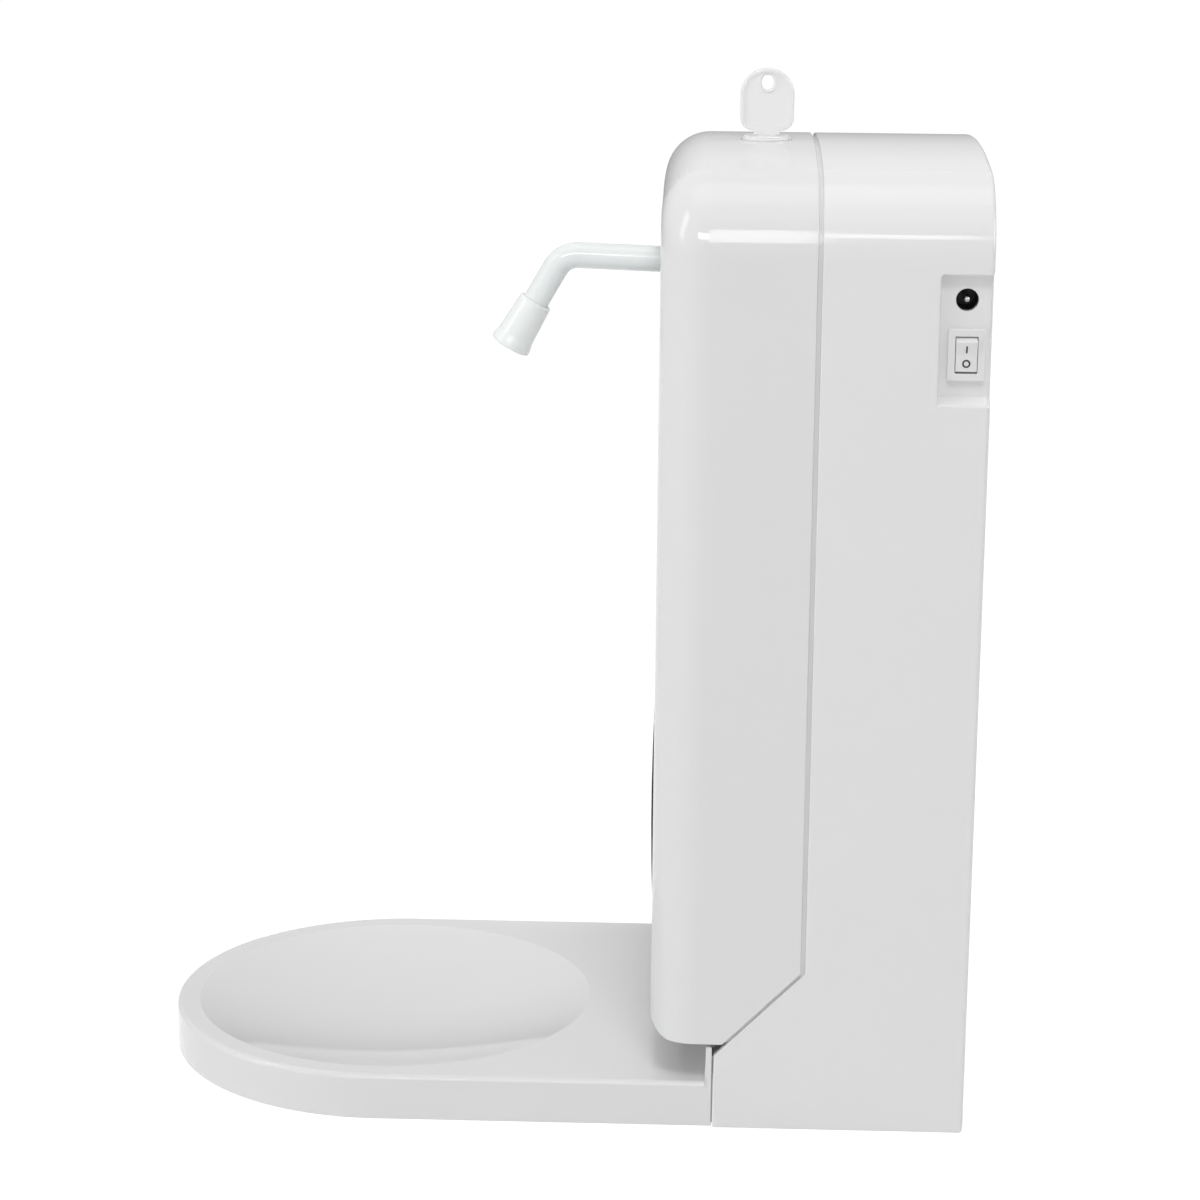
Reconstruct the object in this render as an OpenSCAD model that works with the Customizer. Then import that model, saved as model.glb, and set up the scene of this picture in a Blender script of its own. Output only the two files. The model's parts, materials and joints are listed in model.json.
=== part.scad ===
// Automatic soap dispenser: hollow rear housing and hinged front cover, key lock, bent spout,
// one-litre bottle, gear pump, controls with switch and power inlet, and a plug-in drip tray.
// Millimetres. Z is up, the cover faces -Y, the switch side is +X, z = 0 is the table.

/* [Body] */
// Width of the body across its sides
body_w = 144; // [140:1:160]
// Height of the body at the middle of its arched top
body_h = 294; // [280:1:320]
// Depth from the back to the front of the cover
body_d = 96; // [95:0.5:100]
// Depth of the rear housing at its upright seam
seam_d = 49.2; // [48:0.2:52]
// Distance of the plinth front behind the front of the cover
plinth_in = 19.6; // [18:0.2:21]
// Height of the plinth at its front
plinth_h = 23.2; // [21:0.2:26]
// Wall of the moulded shells
wall = 2.5; // [2.2:0.1:2.8]
// Radius of the shallow arch of the top
crown_r = 409.5; // [300:0.5:500]
// Radius of the shoulders between top and sides
shoulder_r = 24; // [18:0.5:30]

/* [Cover] */
// Radius round the front edge of the cover
front_edge_r = 14; // [10:0.5:14.5]
// Radius under the front of the cover
chin_r = 6.5; // [6:0.5:9]
// Gap of the seam between cover and housing
seam_gap = 1.3; // [0.8:0.1:1.8]
// Height of the lower edge of the cover above the plinth
cover_lift = 3.8; // [3:0.1:5]
// Length of the tongue of the housing that the cover laps over
lip_l = 4; // [3:0.2:5]
// Distance of the hinge axis behind the front of the cover
hinge_in = 9.5; // [9:0.1:10.5]
// Height of the hinge axis above the lower edge of the cover
hinge_up = 7; // [6.6:0.1:8]
// Radius of the hinge pins
pin_r = 1.5; // [1.2:0.1:2]
// Width of the slot that lets the cover swing past the spout
slot_w = 16.5; // [15:0.5:20]
// Height of that slot
slot_h = 38; // [37:0.5:44]

/* [Window] */
// Width of the dark window
window_w = 36; // [28:1:44]
// Height of the dark window
window_h = 76; // [66:1:86]
// Height of the middle of the window above the table
window_z = 86; // [82:1:96]
// How far the middle of the window stands out of the cover
window_out = 1.5; // [1:0.1:3]

/* [Lock] */
// Distance of the lock in front of the seam
lock_fwd = 15.8; // [14:0.2:18]
// Radius of the lock collar on the roof
collar_r = 7.5; // [7:0.1:9]
// Height of the lock collar
collar_h = 1.5; // [1.2:0.1:2.5]
// Radius of the lock barrel
barrel_r = 5; // [4.6:0.1:5.6]
// Width of the key bow
bow_w = 16.4; // [14:0.2:20]
// Height of the key bow
bow_h = 18.9; // [17:0.1:24]
// Thickness of the key
key_t = 2.3; // [1.8:0.1:2.6]

/* [Spout] */
// Radius of the spout tube
spout_r = 4; // [3.5:0.1:4.5]
// Depth of the spout axis below the top of the body
spout_drop = 37.3; // [36:0.1:39]
// Reach of the level part of the spout in front of the cover
spout_reach = 30.9; // [26:0.5:34]
// Rise of the level part towards its bend, in degrees
spout_tilt = 2; // [0:0.5:3]
// Turn of the bend, in degrees
spout_turn = 62; // [55:1:70]
// Radius of the bend
spout_bend = 8; // [7:0.5:10]
// Length of the leg from the corner to the tip of the nozzle
leg_l = 33.2; // [30:0.5:35]
// Length of the nozzle
nozzle_l = 16.4; // [13:0.5:19]
// Radius of the nozzle at its tip
nozzle_r = 6.4; // [5.5:0.1:6.8]

/* [Switch side] */
// Depth of the recess for switch and inlet
recess_in = 3; // [2:0.1:3.4]
// Width of the recess, from the back edge forward
recess_w = 15.2; // [14.6:0.2:18]
// Height of the recess
recess_h = 38; // [36:0.5:42]
// Drop from the top of the body to the top of the recess
recess_drop = 30.5; // [28:0.5:33]
// Height of the sloped ledge under the recess
ledge_h = 2.5; // [1:0.1:3]
// Width of the switch frame
switch_w = 10.9; // [10.5:0.1:11.5]
// Height of the switch frame
switch_h = 15.1; // [14.5:0.1:16]
// Radius of the power inlet
inlet_r = 3.3; // [3:0.05:3.5]

/* [Tray] */
// Width of the drip tray
tray_w = 142; // [136:1:143]
// Length of the tray in front of the plinth
tray_l = 175.2; // [150:1:200]
// Height of the tray rim
tray_h = 14.3; // [13.4:0.1:16]
// Radius of the dish
dish_r = 63.7; // [56:0.5:64]
// Depth of the dish
dish_h = 9.5; // [7:0.25:10]
// Thickness of the tray skin
tray_t = 2; // [1.6:0.1:2.4]
// Radius along the rim of the tray
rim_r = 1.6; // [0.8:0.1:2.2]

/* [Bottle] */
// Width of the bottle
bottle_w = 114; // [90:1:114]
// Room behind the bottle for the battery holder
bottle_back = 20; // [19.5:0.1:22]
// Wall of the bottle
bottle_t = 1.2; // [0.9:0.1:1.6]
// Radius of the bottle neck
neck_r = 17; // [15:0.5:20]

/* [Pump] */
// Drop from the top of the body to the deck under the pump
deck_drop = 87.7; // [87:0.1:89]
// Teeth of each pump gear
gear_n = 14; // [13:1:15]
// Module of the pump gears
gear_m = 0.9; // [0.85:0.01:0.95]
// Width of the pump gears
gear_w = 8; // [6:0.5:9]
// Radius of the motor
motor_r = 12.2; // [11:0.1:12.6]
// Length of the motor
motor_l = 31; // [28:0.5:34]

/* [Power] */
// Radius of a battery cell
cell_r = 7.1; // [6.8:0.1:7.2]
// Length of a battery cell
cell_l = 50; // [48:0.5:52]
// Width of the control board
board_w = 78; // [60:1:84]
// Height of the control board
board_h = 56; // [46:1:58]

/* [Fits] */
// Radial clearance of turning fits
run_gap = 0.05; // [0.03:0.01:0.08]
// Clearance of fixed and sliding fits
fit_gap = 0.15; // [0.1:0.05:0.25]

/* [Hidden] */
$fn = 72;
// Length that a cut runs past a face, and that a joined piece runs into its wall
cut = 1;
bite = 0.5;
hair = 0.06;
half_w = body_w / 2;
back_y = body_d / 2;
front_y = -body_d / 2;
plinth_d = body_d - plinth_in;
crown_z = body_h - crown_r;
shoulder_x = half_w - shoulder_r;
shoulder_z = crown_z + sqrt(pow(crown_r - shoulder_r, 2) - pow(shoulder_x, 2));
cover_z = plinth_h + cover_lift;
hinge_d = body_d - hinge_in;
hinge_z = cover_z + hinge_up;
cover_d = seam_d + seam_gap;
// Skin left outside the tongue, and the tongue behind it
skin = 1;
lip_in = skin + 0.25;
// Hinge lugs of the housing
lug_r = 3.8;
lug_x = 58.5 + (half_w - 72);
lug_w = 5;
boss_gap = 0.3;
// Screws: shank, head and pilot hole
screw_r = 1.4;
pilot_r = screw_r + run_gap;
head_r = 2.7;
head_h = 1.8;
screw_l = 9;
small_r = 1;
small_l = 6;
// Deck, rails and pump
deck_z = body_h - deck_drop;
deck_t = 2.5;
rail_w = 8;
rail_h = 6;
rail_x = half_w - wall - rail_w / 2;
bottle_d = plinth_d - wall - bottle_back;
feed_d = wall + bottle_back + bottle_d / 2;
pump_z = deck_z + 19.7;
pump_hw = 16;
pump_hh = 11;
pump_bolt_y = 13.2;
pump_bolt_z = 8.4;
pump_bolt_l = 11;
pitch_r = gear_m * gear_n / 2;
gear_gap = 0.1;
gear_cd = 2 * pitch_r + gear_gap;
drive_d = feed_d - gear_cd / 2;
idle_d = feed_d + gear_cd / 2;
chamber_x = gear_w / 2 + gear_gap;
pump_x0 = -chamber_x - 6;
plate_t = 3;
shaft_r = 1;
// Strap over the motor: thickness, and reach of its feet
strap_t = 1.3;
strap_foot = 10.3;
strap_w = 9;
strap_in = 19;
strap_hole = 6.5;
barb_r = 3.5;
bore_r = 2.2;
hose_r = barb_r + run_gap + 1.5;
hose_bend = 13;
// Spout frame: axis through the front of the cover
spout_z = body_h - spout_drop;
corner_t = spout_bend * tan(spout_turn / 2);
hose_end_d = feed_d + hose_bend * (1 - sin(spout_tilt));
hose_end_z = spout_z - (body_d - hose_end_d) * tan(spout_tilt);
hose_top_z = hose_end_z - hose_bend * cos(spout_tilt);
spigot_l = 5.5;
spout_in = (body_d - hose_end_d) / cos(spout_tilt);
post_d = body_d - 19;
// Clamp over the spout: width, length, wall above the tube, and bite of its screws
clamp_w = 28;
clamp_l = 12;
clamp_t = 3;
clamp_bite = 7;
post_z = spout_z - (body_d - post_d) * tan(spout_tilt);
// Recess, switch and inlet
recess_x = half_w - recess_in;
recess_floor = 2;
recess_z = body_h - recess_drop;
switch_d = 7.3;
switch_z = recess_z - 23.3;
inlet_d = 7.5;
inlet_z = recess_z - 7.4;
body_sw = switch_w - 2.3;
body_sh = switch_h - 2.1;
switch_in = 12;
rock_w = 6.2;
rock_r = 5.25;
rock_deg = 17;
frame_t = 1.5;
rock_x = recess_x + frame_t - 2.2;
// Lock
lock_d = cover_d - seam_gap + lock_fwd;
seat_z = body_h - 0.3;
lock_low = body_h - 15.5;
cam_t = 2.5;
bow_z = body_h + 2.6;
blade_w = 6;
blade_l = 11.5;
// Window and sensor
sensor_hole = window_h / 2 + 6.5;
sensor_w = 26;
sensor_rim = 4.5;
diode_z = 16;
sensor_len = 6;
pcb_t = 1.6;
// Tray
tongue_w = 14;
tongue_t = 3;
tongue_z = 6.5;
tongue_l = 9;
tongue_x = 38;
tray_gap = 0.5;
upstand_t = 1.9;
tray_y = front_y + body_d - plinth_d - tray_gap;
round_y = back_y - plinth_d - tray_l + tray_w / 2;
dish_s = (dish_r * dish_r + dish_h * dish_h) / (2 * dish_h);
// Base plate
base_t = 2;
post_x = 52;
// Bottle
bottle_z = plinth_h;
bottle_top = deck_z - deck_t - 12.5;
neck_h = 9;
slope_h = 12;
bottle_body = bottle_top - bottle_z - neck_h - slope_h;
cap_h = 11;
cap_z = bottle_top - 8.5;
// Battery holder
cell_p = 2 * cell_r + 0.4;
hold_w = 4 * cell_p + 3.6;
hold_h = cell_l + 10;
hold_z = 84;
hold_d = 2 * cell_r + 2;
ear_x = hold_w / 2 + 4.5;
// Control board
board_d = wall + 4;
board_z = deck_z + 8;
board_x = -8;
// Parts of the control board: relay, chip, capacitors, plugs and coil
relay = [16, 7, 12];
chip = [10, 2, 10];
can_r = 4;
can_l = 11;
plug = [9, 6, 5];
plug_p = 14;
coil = [8, 4, 8];
wall_x = 50;
wall_z1 = 60;
wall_z2 = 178;
wall_hole_r = 2.6;

white = [0.9, 0.9, 0.9];
bright = [0.94, 0.94, 0.93];
cool = [0.86, 0.9, 0.89];
smoke = [0.08, 0.08, 0.09];
black = [0.06, 0.06, 0.06];
grey = [0.55, 0.56, 0.58];
steel = [0.7, 0.7, 0.72];
green = [0.08, 0.32, 0.16];
clear = [0.85, 0.88, 0.9];

function at(d) = back_y - d;

// Extrude a front-view shape between two y values, or a side-view shape between two x values
module along_y(y0, y1) translate([0, y1, 0]) rotate([90, 0, 0]) linear_extrude(y1 - y0) children();
module along_x(x0, x1) translate([x0, 0, 0]) rotate([90, 0, 90]) linear_extrude(x1 - x0) children();
module bar_x(r, x0, x1) translate([x0, 0, 0]) rotate([0, 90, 0]) cylinder(r = r, h = x1 - x0);
module bar_y(r, y0, y1) translate([0, y1, 0]) rotate([90, 0, 0]) cylinder(r = r, h = y1 - y0);

// Rounded rectangle about its centre
module soft_2d(w, h, r) {
    square([w, h - 2 * r], center = true);
    square([w - 2 * r, h], center = true);
    for (sx = [-1, 1], sy = [-1, 1]) translate([sx * (w / 2 - r), sy * (h / 2 - r)]) circle(r);
}

// Upright slot shape with full round ends
module slot_2d(w, h) {
    square([w, h - w], center = true);
    for (s = [-1, 1]) translate([0, s * (h - w) / 2]) circle(w / 2);
}

// Sector from the crown centre out to the two shoulders
module crown_sector_2d() polygon([[0, crown_z], [1.2 * shoulder_x, crown_z + 1.2 * (shoulder_z - crown_z)],
    [-1.2 * shoulder_x, crown_z + 1.2 * (shoulder_z - crown_z)]]);

// Front outline of the body: upright sides, round shoulders and arched top
module arch_2d(inset, low) {
    translate([-half_w + inset, low]) square([body_w - 2 * inset, shoulder_z - low]);
    for (s = [-1, 1]) translate([s * shoulder_x, shoulder_z]) circle(shoulder_r - inset);
    intersection() {
        translate([0, crown_z]) circle(crown_r - inset, $fn = 200);
        crown_sector_2d();
        translate([-half_w, low]) square([body_w, body_h]);
    }
}

// Round disc on a y axis with a rounded front edge
module puck(r, y0, y1, edge) rotate([90, 0, 0]) rotate_extrude() intersection() {
    translate([0, -y1]) square([r, y1 - y0]);
    union() {
        translate([0, -y1]) square([r, y1 - y0 - edge]);
        translate([0, -y1]) square([r - edge, y1 - y0]);
        translate([r - edge, -y0 - edge]) circle(edge);
    }
}

// Plan of the body with the rounded front edges of the cover, inset from the outside
module plan_2d(inset) {
    y0 = front_y + inset;
    e = front_edge_r - inset;
    w = half_w - inset;
    translate([-w, y0 + e]) square([2 * w, at(seam_d - 6) - y0 - e]);
    translate([-w + e, y0]) square([2 * (w - e), e + cut]);
    for (s = [-1, 1]) translate([s * (w - e), y0 + e]) circle(e);
}

// Body form with the rounded front edge of the cover, inset from the outside.
// The shoulders run a hair under the arched top, so that their faces cross and don't graze.
module loaf(inset) {
    y0 = front_y + inset;
    y1 = at(seam_d - 6);
    e = front_edge_r - inset;
    linear_extrude(shoulder_z) plan_2d(inset);
    for (s = [-1, 1]) intersection() {
        translate([s * shoulder_x, 0, shoulder_z]) puck(shoulder_r - inset - hair, y0 + hair, y1, e - hair);
        translate([s > 0 ? shoulder_x - 4 : -half_w, y0 - cut, shoulder_z]) cube([shoulder_r + 4, body_d, shoulder_r]);
    }
    intersection() {
        translate([0, 0, crown_z]) puck(crown_r - inset, y0, y1, e, $fn = 200);
        along_y(y0 - cut, y1 + cut) crown_sector_2d();
        translate([-half_w, y0 - cut, shoulder_z]) cube([body_w, body_d, body_h - shoulder_z + cut]);
    }
}

// Side outline of the housing, with its front edges moved ahead
module housing_side_2d(ahead) polygon([[back_y + cut, -cut], [back_y + cut, body_h + cut],
    [at(seam_d + ahead), body_h + cut], [at(seam_d + ahead), plinth_h + plinth_d - seam_d],
    [at(plinth_d + ahead), plinth_h], [at(plinth_d + ahead), -cut]]);

// Side outline of the cover, down to its slanted rear edge and round chin
module cover_side_2d() {
    slant = plinth_d + plinth_h + seam_gap;
    polygon([[front_y + chin_r, cover_z], [at(slant - cover_z), cover_z], [at(cover_d), slant - cover_d],
        [at(cover_d), body_h + cut], [front_y - cut, body_h + cut], [front_y - cut, cover_z + chin_r],
        [front_y + chin_r, cover_z + chin_r]]);
    translate([front_y + chin_r, cover_z + chin_r]) circle(chin_r);
}

// Side outline of the hollow of the cover, open to the rear
module cover_hollow_2d() {
    r = chin_r - wall;
    low = cover_z + wall;
    polygon([[front_y + chin_r, low], [back_y, low], [back_y, body_h + cut], [front_y, body_h + cut],
        [front_y, low + r], [front_y + chin_r, low + r]]);
    translate([front_y + chin_r, low + r]) circle(r);
}

module cover_form() intersection() {
    loaf(0);
    along_x(-half_w - cut, half_w + cut) cover_side_2d();
}

// Screw along +z with its head above z = 0
module screw(r, l) {
    cylinder(r = head_r * r / screw_r, h = head_h * r / screw_r);
    translate([0, 0, -l]) cylinder(r = r, h = l + cut / 2);
}

// Parts of the rear housing
module plate_posts() for (s = [-1, 1], d = [12, plinth_d - 16]) translate([s * post_x, at(d), 0]) children();
module deck_points() for (s = [-1, 1], d = [11, seam_d - 10]) translate([s * rail_x, at(d), deck_z]) children();
module board_points() for (s = [-1, 1], t = [4, board_h - 4])
    translate([board_x + s * (board_w / 2 - 4), at(board_d), board_z + t]) children();
module holder_points() for (s = [-1, 1]) translate([s * ear_x, at(wall + 4), hold_z + hold_h / 2]) children();

module lugs() for (s = [-1, 1]) along_x(s > 0 ? lug_x : -lug_x - lug_w, s > 0 ? lug_x + lug_w : -lug_x) {
    translate([at(hinge_d), hinge_z]) circle(lug_r);
    translate([at(hinge_d), hinge_z - lug_r]) square([hinge_d - plinth_d + 14, 2 * lug_r]);
    translate([at(plinth_d), plinth_h - wall / 2]) square([14, hinge_z + lug_r - plinth_h + wall / 2]);
}

module rear_housing() color(white) difference() {
    union() {
        difference() {
            intersection() {
                along_y(at(plinth_d + cut), back_y) arch_2d(0, 0);
                along_x(-half_w - cut, half_w + cut) housing_side_2d(0);
            }
            along_y(at(plinth_d + 2 * cut), at(wall)) arch_2d(wall, plinth_h);
            translate([-half_w + wall, at(plinth_d - wall), -cut])
                cube([body_w - 2 * wall, plinth_d - 2 * wall, plinth_h - wall + cut]);
        }
        // Tongue that the cover laps over
        intersection() {
            along_y(at(plinth_d + cut), at(seam_d - 25)) difference() {
                arch_2d(lip_in, cover_z + 0.5);
                translate([0, -cut]) arch_2d(wall + 0.01, cover_z - 1);
            }
            along_x(-half_w, half_w) difference() {
                housing_side_2d(lip_l);
                housing_side_2d(-2);
            }
        }
        lugs();
        // Rails for the deck
        for (s = [-1, 1]) translate([s > 0 ? half_w - wall - rail_w : -half_w + wall - bite, at(seam_d - 2),
            deck_z - deck_t - rail_h]) cube([rail_w + bite, seam_d - 2 - wall + bite, rail_h]);
        // Posts for the base plate
        plate_posts() translate([0, 0, base_t]) cylinder(r = 4, h = plinth_h - wall - base_t + bite);
        // Seats of the control board and of the battery holder
        board_points() bar_y(3, 0, board_d - wall + bite);
        holder_points() bar_y(3, 0, 4 + bite);
        // Strike for the lock
        translate([4, at(seam_d - 1.7), lock_low - 6]) cube([16, 2, body_h - wall - lock_low + 6.5]);
        // Wall behind the recess
        translate([recess_x - recess_floor, at(recess_w + 2), recess_z - recess_h - 2])
            cube([recess_in - wall + recess_floor + bite, recess_w + 2 - bite, recess_h + 4]);
    }
    // Recess open to the back with a sloped ledge below, switch opening and inlet hole
    intersection() {
        along_x(recess_x, half_w + cut) translate([at(recess_w / 2 - 3), recess_z - recess_h / 2 - cut / 2])
            soft_2d(recess_w + 6, recess_h + cut, 1);
        along_y(at(recess_w + cut), back_y + cut) polygon([[recess_x - cut, recess_z + cut], [half_w + cut, recess_z + cut],
            [half_w + cut, recess_z - recess_h - ledge_h * cut / recess_in],
            [recess_x - cut, recess_z - recess_h + ledge_h * (recess_in + cut) / recess_in]]);
    }
    translate([recess_x - recess_floor - cut, at(switch_d) - body_sw / 2 - fit_gap, switch_z - body_sh / 2 - fit_gap])
        cube([recess_floor + 2 * cut, body_sw + 2 * fit_gap, body_sh + 2 * fit_gap]);
    translate([0, at(inlet_d), inlet_z]) bar_x(inlet_r, recess_x - recess_floor - cut, recess_x + cut);
    // Wall holes
    for (s = [-1, 1], z = [wall_z1, wall_z2]) translate([s * wall_x, 0, z]) bar_y(wall_hole_r, at(wall + cut), back_y + cut);
    // Slots for the tray tongues
    for (s = [-1, 1]) translate([s * tongue_x - tongue_w / 2 - 2 * fit_gap, at(plinth_d + cut), tongue_z - 2 * fit_gap])
        cube([tongue_w + 4 * fit_gap, wall + 2 * cut, tongue_t + 4 * fit_gap]);
    // Hinge bores and pilot holes
    for (s = [-1, 1]) translate([0, at(hinge_d), hinge_z])
        bar_x(pin_r + 0.01, s > 0 ? lug_x - cut : -lug_x - lug_w - cut, s > 0 ? lug_x + lug_w + cut : -lug_x + cut);
    plate_posts() cylinder(r = pilot_r, h = screw_l + base_t + 2);
    deck_points() translate([0, 0, -deck_t - rail_h - cut]) cylinder(r = pilot_r, h = rail_h + 2 * cut);
    board_points() bar_y(1 + run_gap, -cut, board_d - wall);
    holder_points() bar_y(pilot_r, -cut, 4);
}

module base_plate() color(grey) difference() {
    translate([-half_w + wall + fit_gap, at(plinth_d - wall - fit_gap), 0])
        cube([body_w - 2 * wall - 2 * fit_gap, plinth_d - 2 * wall - 2 * fit_gap, base_t]);
    plate_posts() translate([0, 0, -cut]) cylinder(r = screw_r + fit_gap, h = base_t + 2 * cut);
    plate_posts() translate([0, 0, -cut]) cylinder(r = head_r + fit_gap, h = cut + 1.2);
}

// Flat heads set into the base plate
module base_screws() color(steel) plate_posts() {
    translate([0, 0, 0.2]) cylinder(r = head_r, h = 1);
    translate([0, 0, 0.7]) cylinder(r = screw_r, h = screw_l);
}

// Shelf for pump, motor and spout
module pump_deck() color(bright) difference() {
    union() {
        translate([-half_w + wall + 2 * fit_gap, at(seam_d - 3), deck_z - deck_t])
            cube([body_w - 2 * wall - 4 * fit_gap, seam_d - 3 - wall - 2 * fit_gap, deck_t]);
        translate([-36, at(body_d - 10), deck_z - deck_t]) cube([72, body_d - 10 - seam_d + 4, deck_t]);
        // Cradle of the motor, ribs under the pump, post of the spout
        translate([pump_x0 - 24, at(drive_d) - 9, deck_z - bite]) cube([10, 18, pump_z - deck_z - 8 + bite]);
        for (s = [-1, 1]) translate([pump_x0 + 1, at(feed_d - s * 12.5) - 1.5, deck_z - bite])
            cube([chamber_x - pump_x0, 3, pump_z - pump_hh - deck_z + bite]);
        translate([-7, at(post_d + 6), deck_z - bite]) cube([14, 12, post_z - deck_z + bite]);
        translate([-14, at(post_d + 6), post_z - 9]) cube([28, 12, 9]);
        for (s = [-1, 1]) translate([s * 10 - 1, at(post_d + 6), deck_z - bite]) cube([2, 12, post_z - 8 - deck_z + bite]);
    }
    translate([0, at(drive_d), pump_z]) bar_x(motor_r + run_gap, pump_x0 - 25, pump_x0 - 13);
    translate([0, at(feed_d), deck_z - deck_t - cut]) cylinder(r = hose_r + 1, h = deck_t + 2 * cut);
    spout_frame() bar_y(spout_r + run_gap, -cut, spout_in);
    deck_points() translate([0, 0, -deck_t - cut]) cylinder(r = screw_r + fit_gap, h = deck_t + 2 * cut);
    clamp_points() translate([0, 0, -8]) cylinder(r = pilot_r, h = 9);
    strap_points() translate([0, 0, -deck_t - cut]) cylinder(r = pilot_r, h = deck_t + 2 * cut);
}

module deck_screws() color(steel) deck_points() screw(screw_r, deck_t + rail_h - cut);
module clamp_points() for (s = [-1, 1]) translate([s * 10.5, at(post_d), post_z]) children();
module strap_points() for (s = [-1, 1]) translate([pump_x0 - strap_in, at(drive_d) + s * (motor_r + strap_hole), deck_z]) children();

module hinge_pins() color(steel) for (s = [-1, 1]) translate([0, at(hinge_d), hinge_z])
    bar_x(pin_r, s > 0 ? lug_x : -lug_x - lug_w - 3.4, s > 0 ? lug_x + lug_w + 3.4 : -lug_x);

// Cover, with tongue step, hinge bosses, lock boss, window, slot and sensor posts
module sensor_points() for (s = [-1, 1]) translate([0, front_y + wall, window_z + s * sensor_hole]) children();

module front_cover() color(white) difference() {
    union() {
        difference() {
            cover_form();
            intersection() {
                loaf(wall);
                along_x(-half_w, half_w) cover_hollow_2d();
            }
            intersection() {
                along_y(at(plinth_d + 8), at(seam_d - 4)) arch_2d(skin, cover_z - cut);
                along_x(-half_w, half_w) housing_side_2d(lip_l + 0.6);
            }
            // Floor ends at the hinge, and further forward beside the lugs
            translate([-half_w + wall, at(hinge_d), cover_z - cut]) cube([body_w - 2 * wall, body_d, wall + 2 * cut]);
            for (s = [-1, 1]) translate([s * (lug_x + lug_w / 2) - lug_w / 2 - 0.6, at(hinge_d + 4.8), cover_z - cut])
                cube([lug_w + 1.2, body_d, wall + 2 * cut]);
        }
        intersection() {
            for (s = [-1, 1]) translate([0, at(hinge_d), hinge_z])
                bar_x(4.3, s > 0 ? lug_x + lug_w + boss_gap : -half_w, s > 0 ? half_w : -lug_x - lug_w - boss_gap);
            linear_extrude(shoulder_z) plan_2d(wall / 2);
        }
        translate([0, at(lock_d), lock_low + 2.5]) cylinder(r = barrel_r + 3.2, h = body_h - lock_low - 4);
        sensor_points() bar_y(3, -bite, sensor_len);
    }
    along_y(front_y - cut, front_y + wall + cut) translate([0, window_z]) slot_2d(window_w, window_h);
    along_y(front_y - cut, front_y + wall + cut) translate([0, spout_z + 10.3 - slot_h / 2]) slot_2d(slot_w, slot_h);
    translate([0, at(lock_d), lock_low - cut]) cylinder(r = barrel_r + run_gap, h = body_h);
    translate([0, at(lock_d), seat_z]) cylinder(r = collar_r + 0.3, h = body_h);
    for (s = [-1, 1]) translate([0, at(hinge_d), hinge_z])
        bar_x(pin_r + run_gap, s > 0 ? lug_x + lug_w : -lug_x - lug_w - 3.6, s > 0 ? lug_x + lug_w + 3.6 : -lug_x - lug_w);
    sensor_points() bar_y(1 + run_gap, 0.3, sensor_len + cut);
}

// Domed dark window with a flange behind the cover
module sensor_window() color(smoke) {
    dome = (pow(window_h / 2, 2) + pow(window_out - 0.6, 2)) / (2 * (window_out - 0.6));
    intersection() {
        along_y(front_y - window_out - cut, front_y + wall + bite) translate([0, window_z]) slot_2d(window_w - 2 * fit_gap, window_h - 2 * fit_gap);
        translate([0, front_y - window_out + dome, window_z]) sphere(dome, $fn = 400);
    }
    along_y(front_y + wall, front_y + wall + 1.5) translate([0, window_z]) slot_2d(window_w + 3, window_h + 3);
}

module sensor_board() color(green) difference() {
    along_y(front_y + wall + sensor_len, front_y + wall + sensor_len + pcb_t) translate([0, window_z]) soft_2d(sensor_w, 2 * (sensor_hole + sensor_rim), 2);
    sensor_points() bar_y(1 + fit_gap, sensor_len - cut, sensor_len + pcb_t + cut);
}

module sensor_diodes() color(clear) for (s = [-1, 1]) translate([0, front_y + wall + sensor_len, window_z + s * diode_z]) {
    bar_y(2.9, -0.8, 0);
    bar_y(2.5, -1.6, 0);
    intersection() {
        translate([0, -1.2, 0]) sphere(2.5);
        translate([-5, -9, -5]) cube([10, 8, 10]);
    }
}

module sensor_screws() color(steel) sensor_points() translate([0, sensor_len + pcb_t, 0]) rotate([-90, 0, 0]) screw(small_r, small_l);

// Lock turned by the key: collar on the roof, barrel through it, hooked cam below
module lock_barrel() color(bright) difference() {
    translate([0, at(lock_d), 0]) {
        translate([0, 0, seat_z]) cylinder(r = collar_r, h = 0.6 * collar_h);
        translate([0, 0, seat_z]) cylinder(r = collar_r - 0.6, h = collar_h);
        translate([0, 0, lock_low]) cylinder(r = barrel_r, h = seat_z - lock_low + bite);
        translate([-3, -3, lock_low - cam_t]) cube([6, 6, cam_t + bite]);
    }
    translate([-key_t / 2 - fit_gap, at(lock_d) - blade_w / 2 - fit_gap, seat_z + collar_h - blade_l - 0.3])
        cube([key_t + 2 * fit_gap, blade_w + 2 * fit_gap, blade_l + 2]);
    translate([0, at(lock_d), lock_low - cam_t - cut]) cylinder(r = 1.1 + run_gap, h = 4 + cut);
}

// Arm lies to the side when unlocked; a quarter turn carries its finger behind the strike
module lock_cam() color(steel) {
    reach = lock_d - seam_d + 4.7;
    translate([0, at(lock_d), lock_low - cam_t]) rotate([0, 0, 90]) linear_extrude(cam_t) difference() {
        union() {
            circle(6);
            translate([-3.4, 0]) square([6.8, reach + 3]);
            translate([-3.4, reach]) square([15, 3]);
        }
        square([6 + 2 * fit_gap, 6 + 2 * fit_gap], center = true);
    }
}

module cam_screw() color(steel) translate([0, at(lock_d), lock_low - cam_t]) {
    translate([0, 0, -1.4]) cylinder(r = 4.6, h = 1.4);
    translate([0, 0, -0.5]) cylinder(r = 1.1, h = 4);
}

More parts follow.
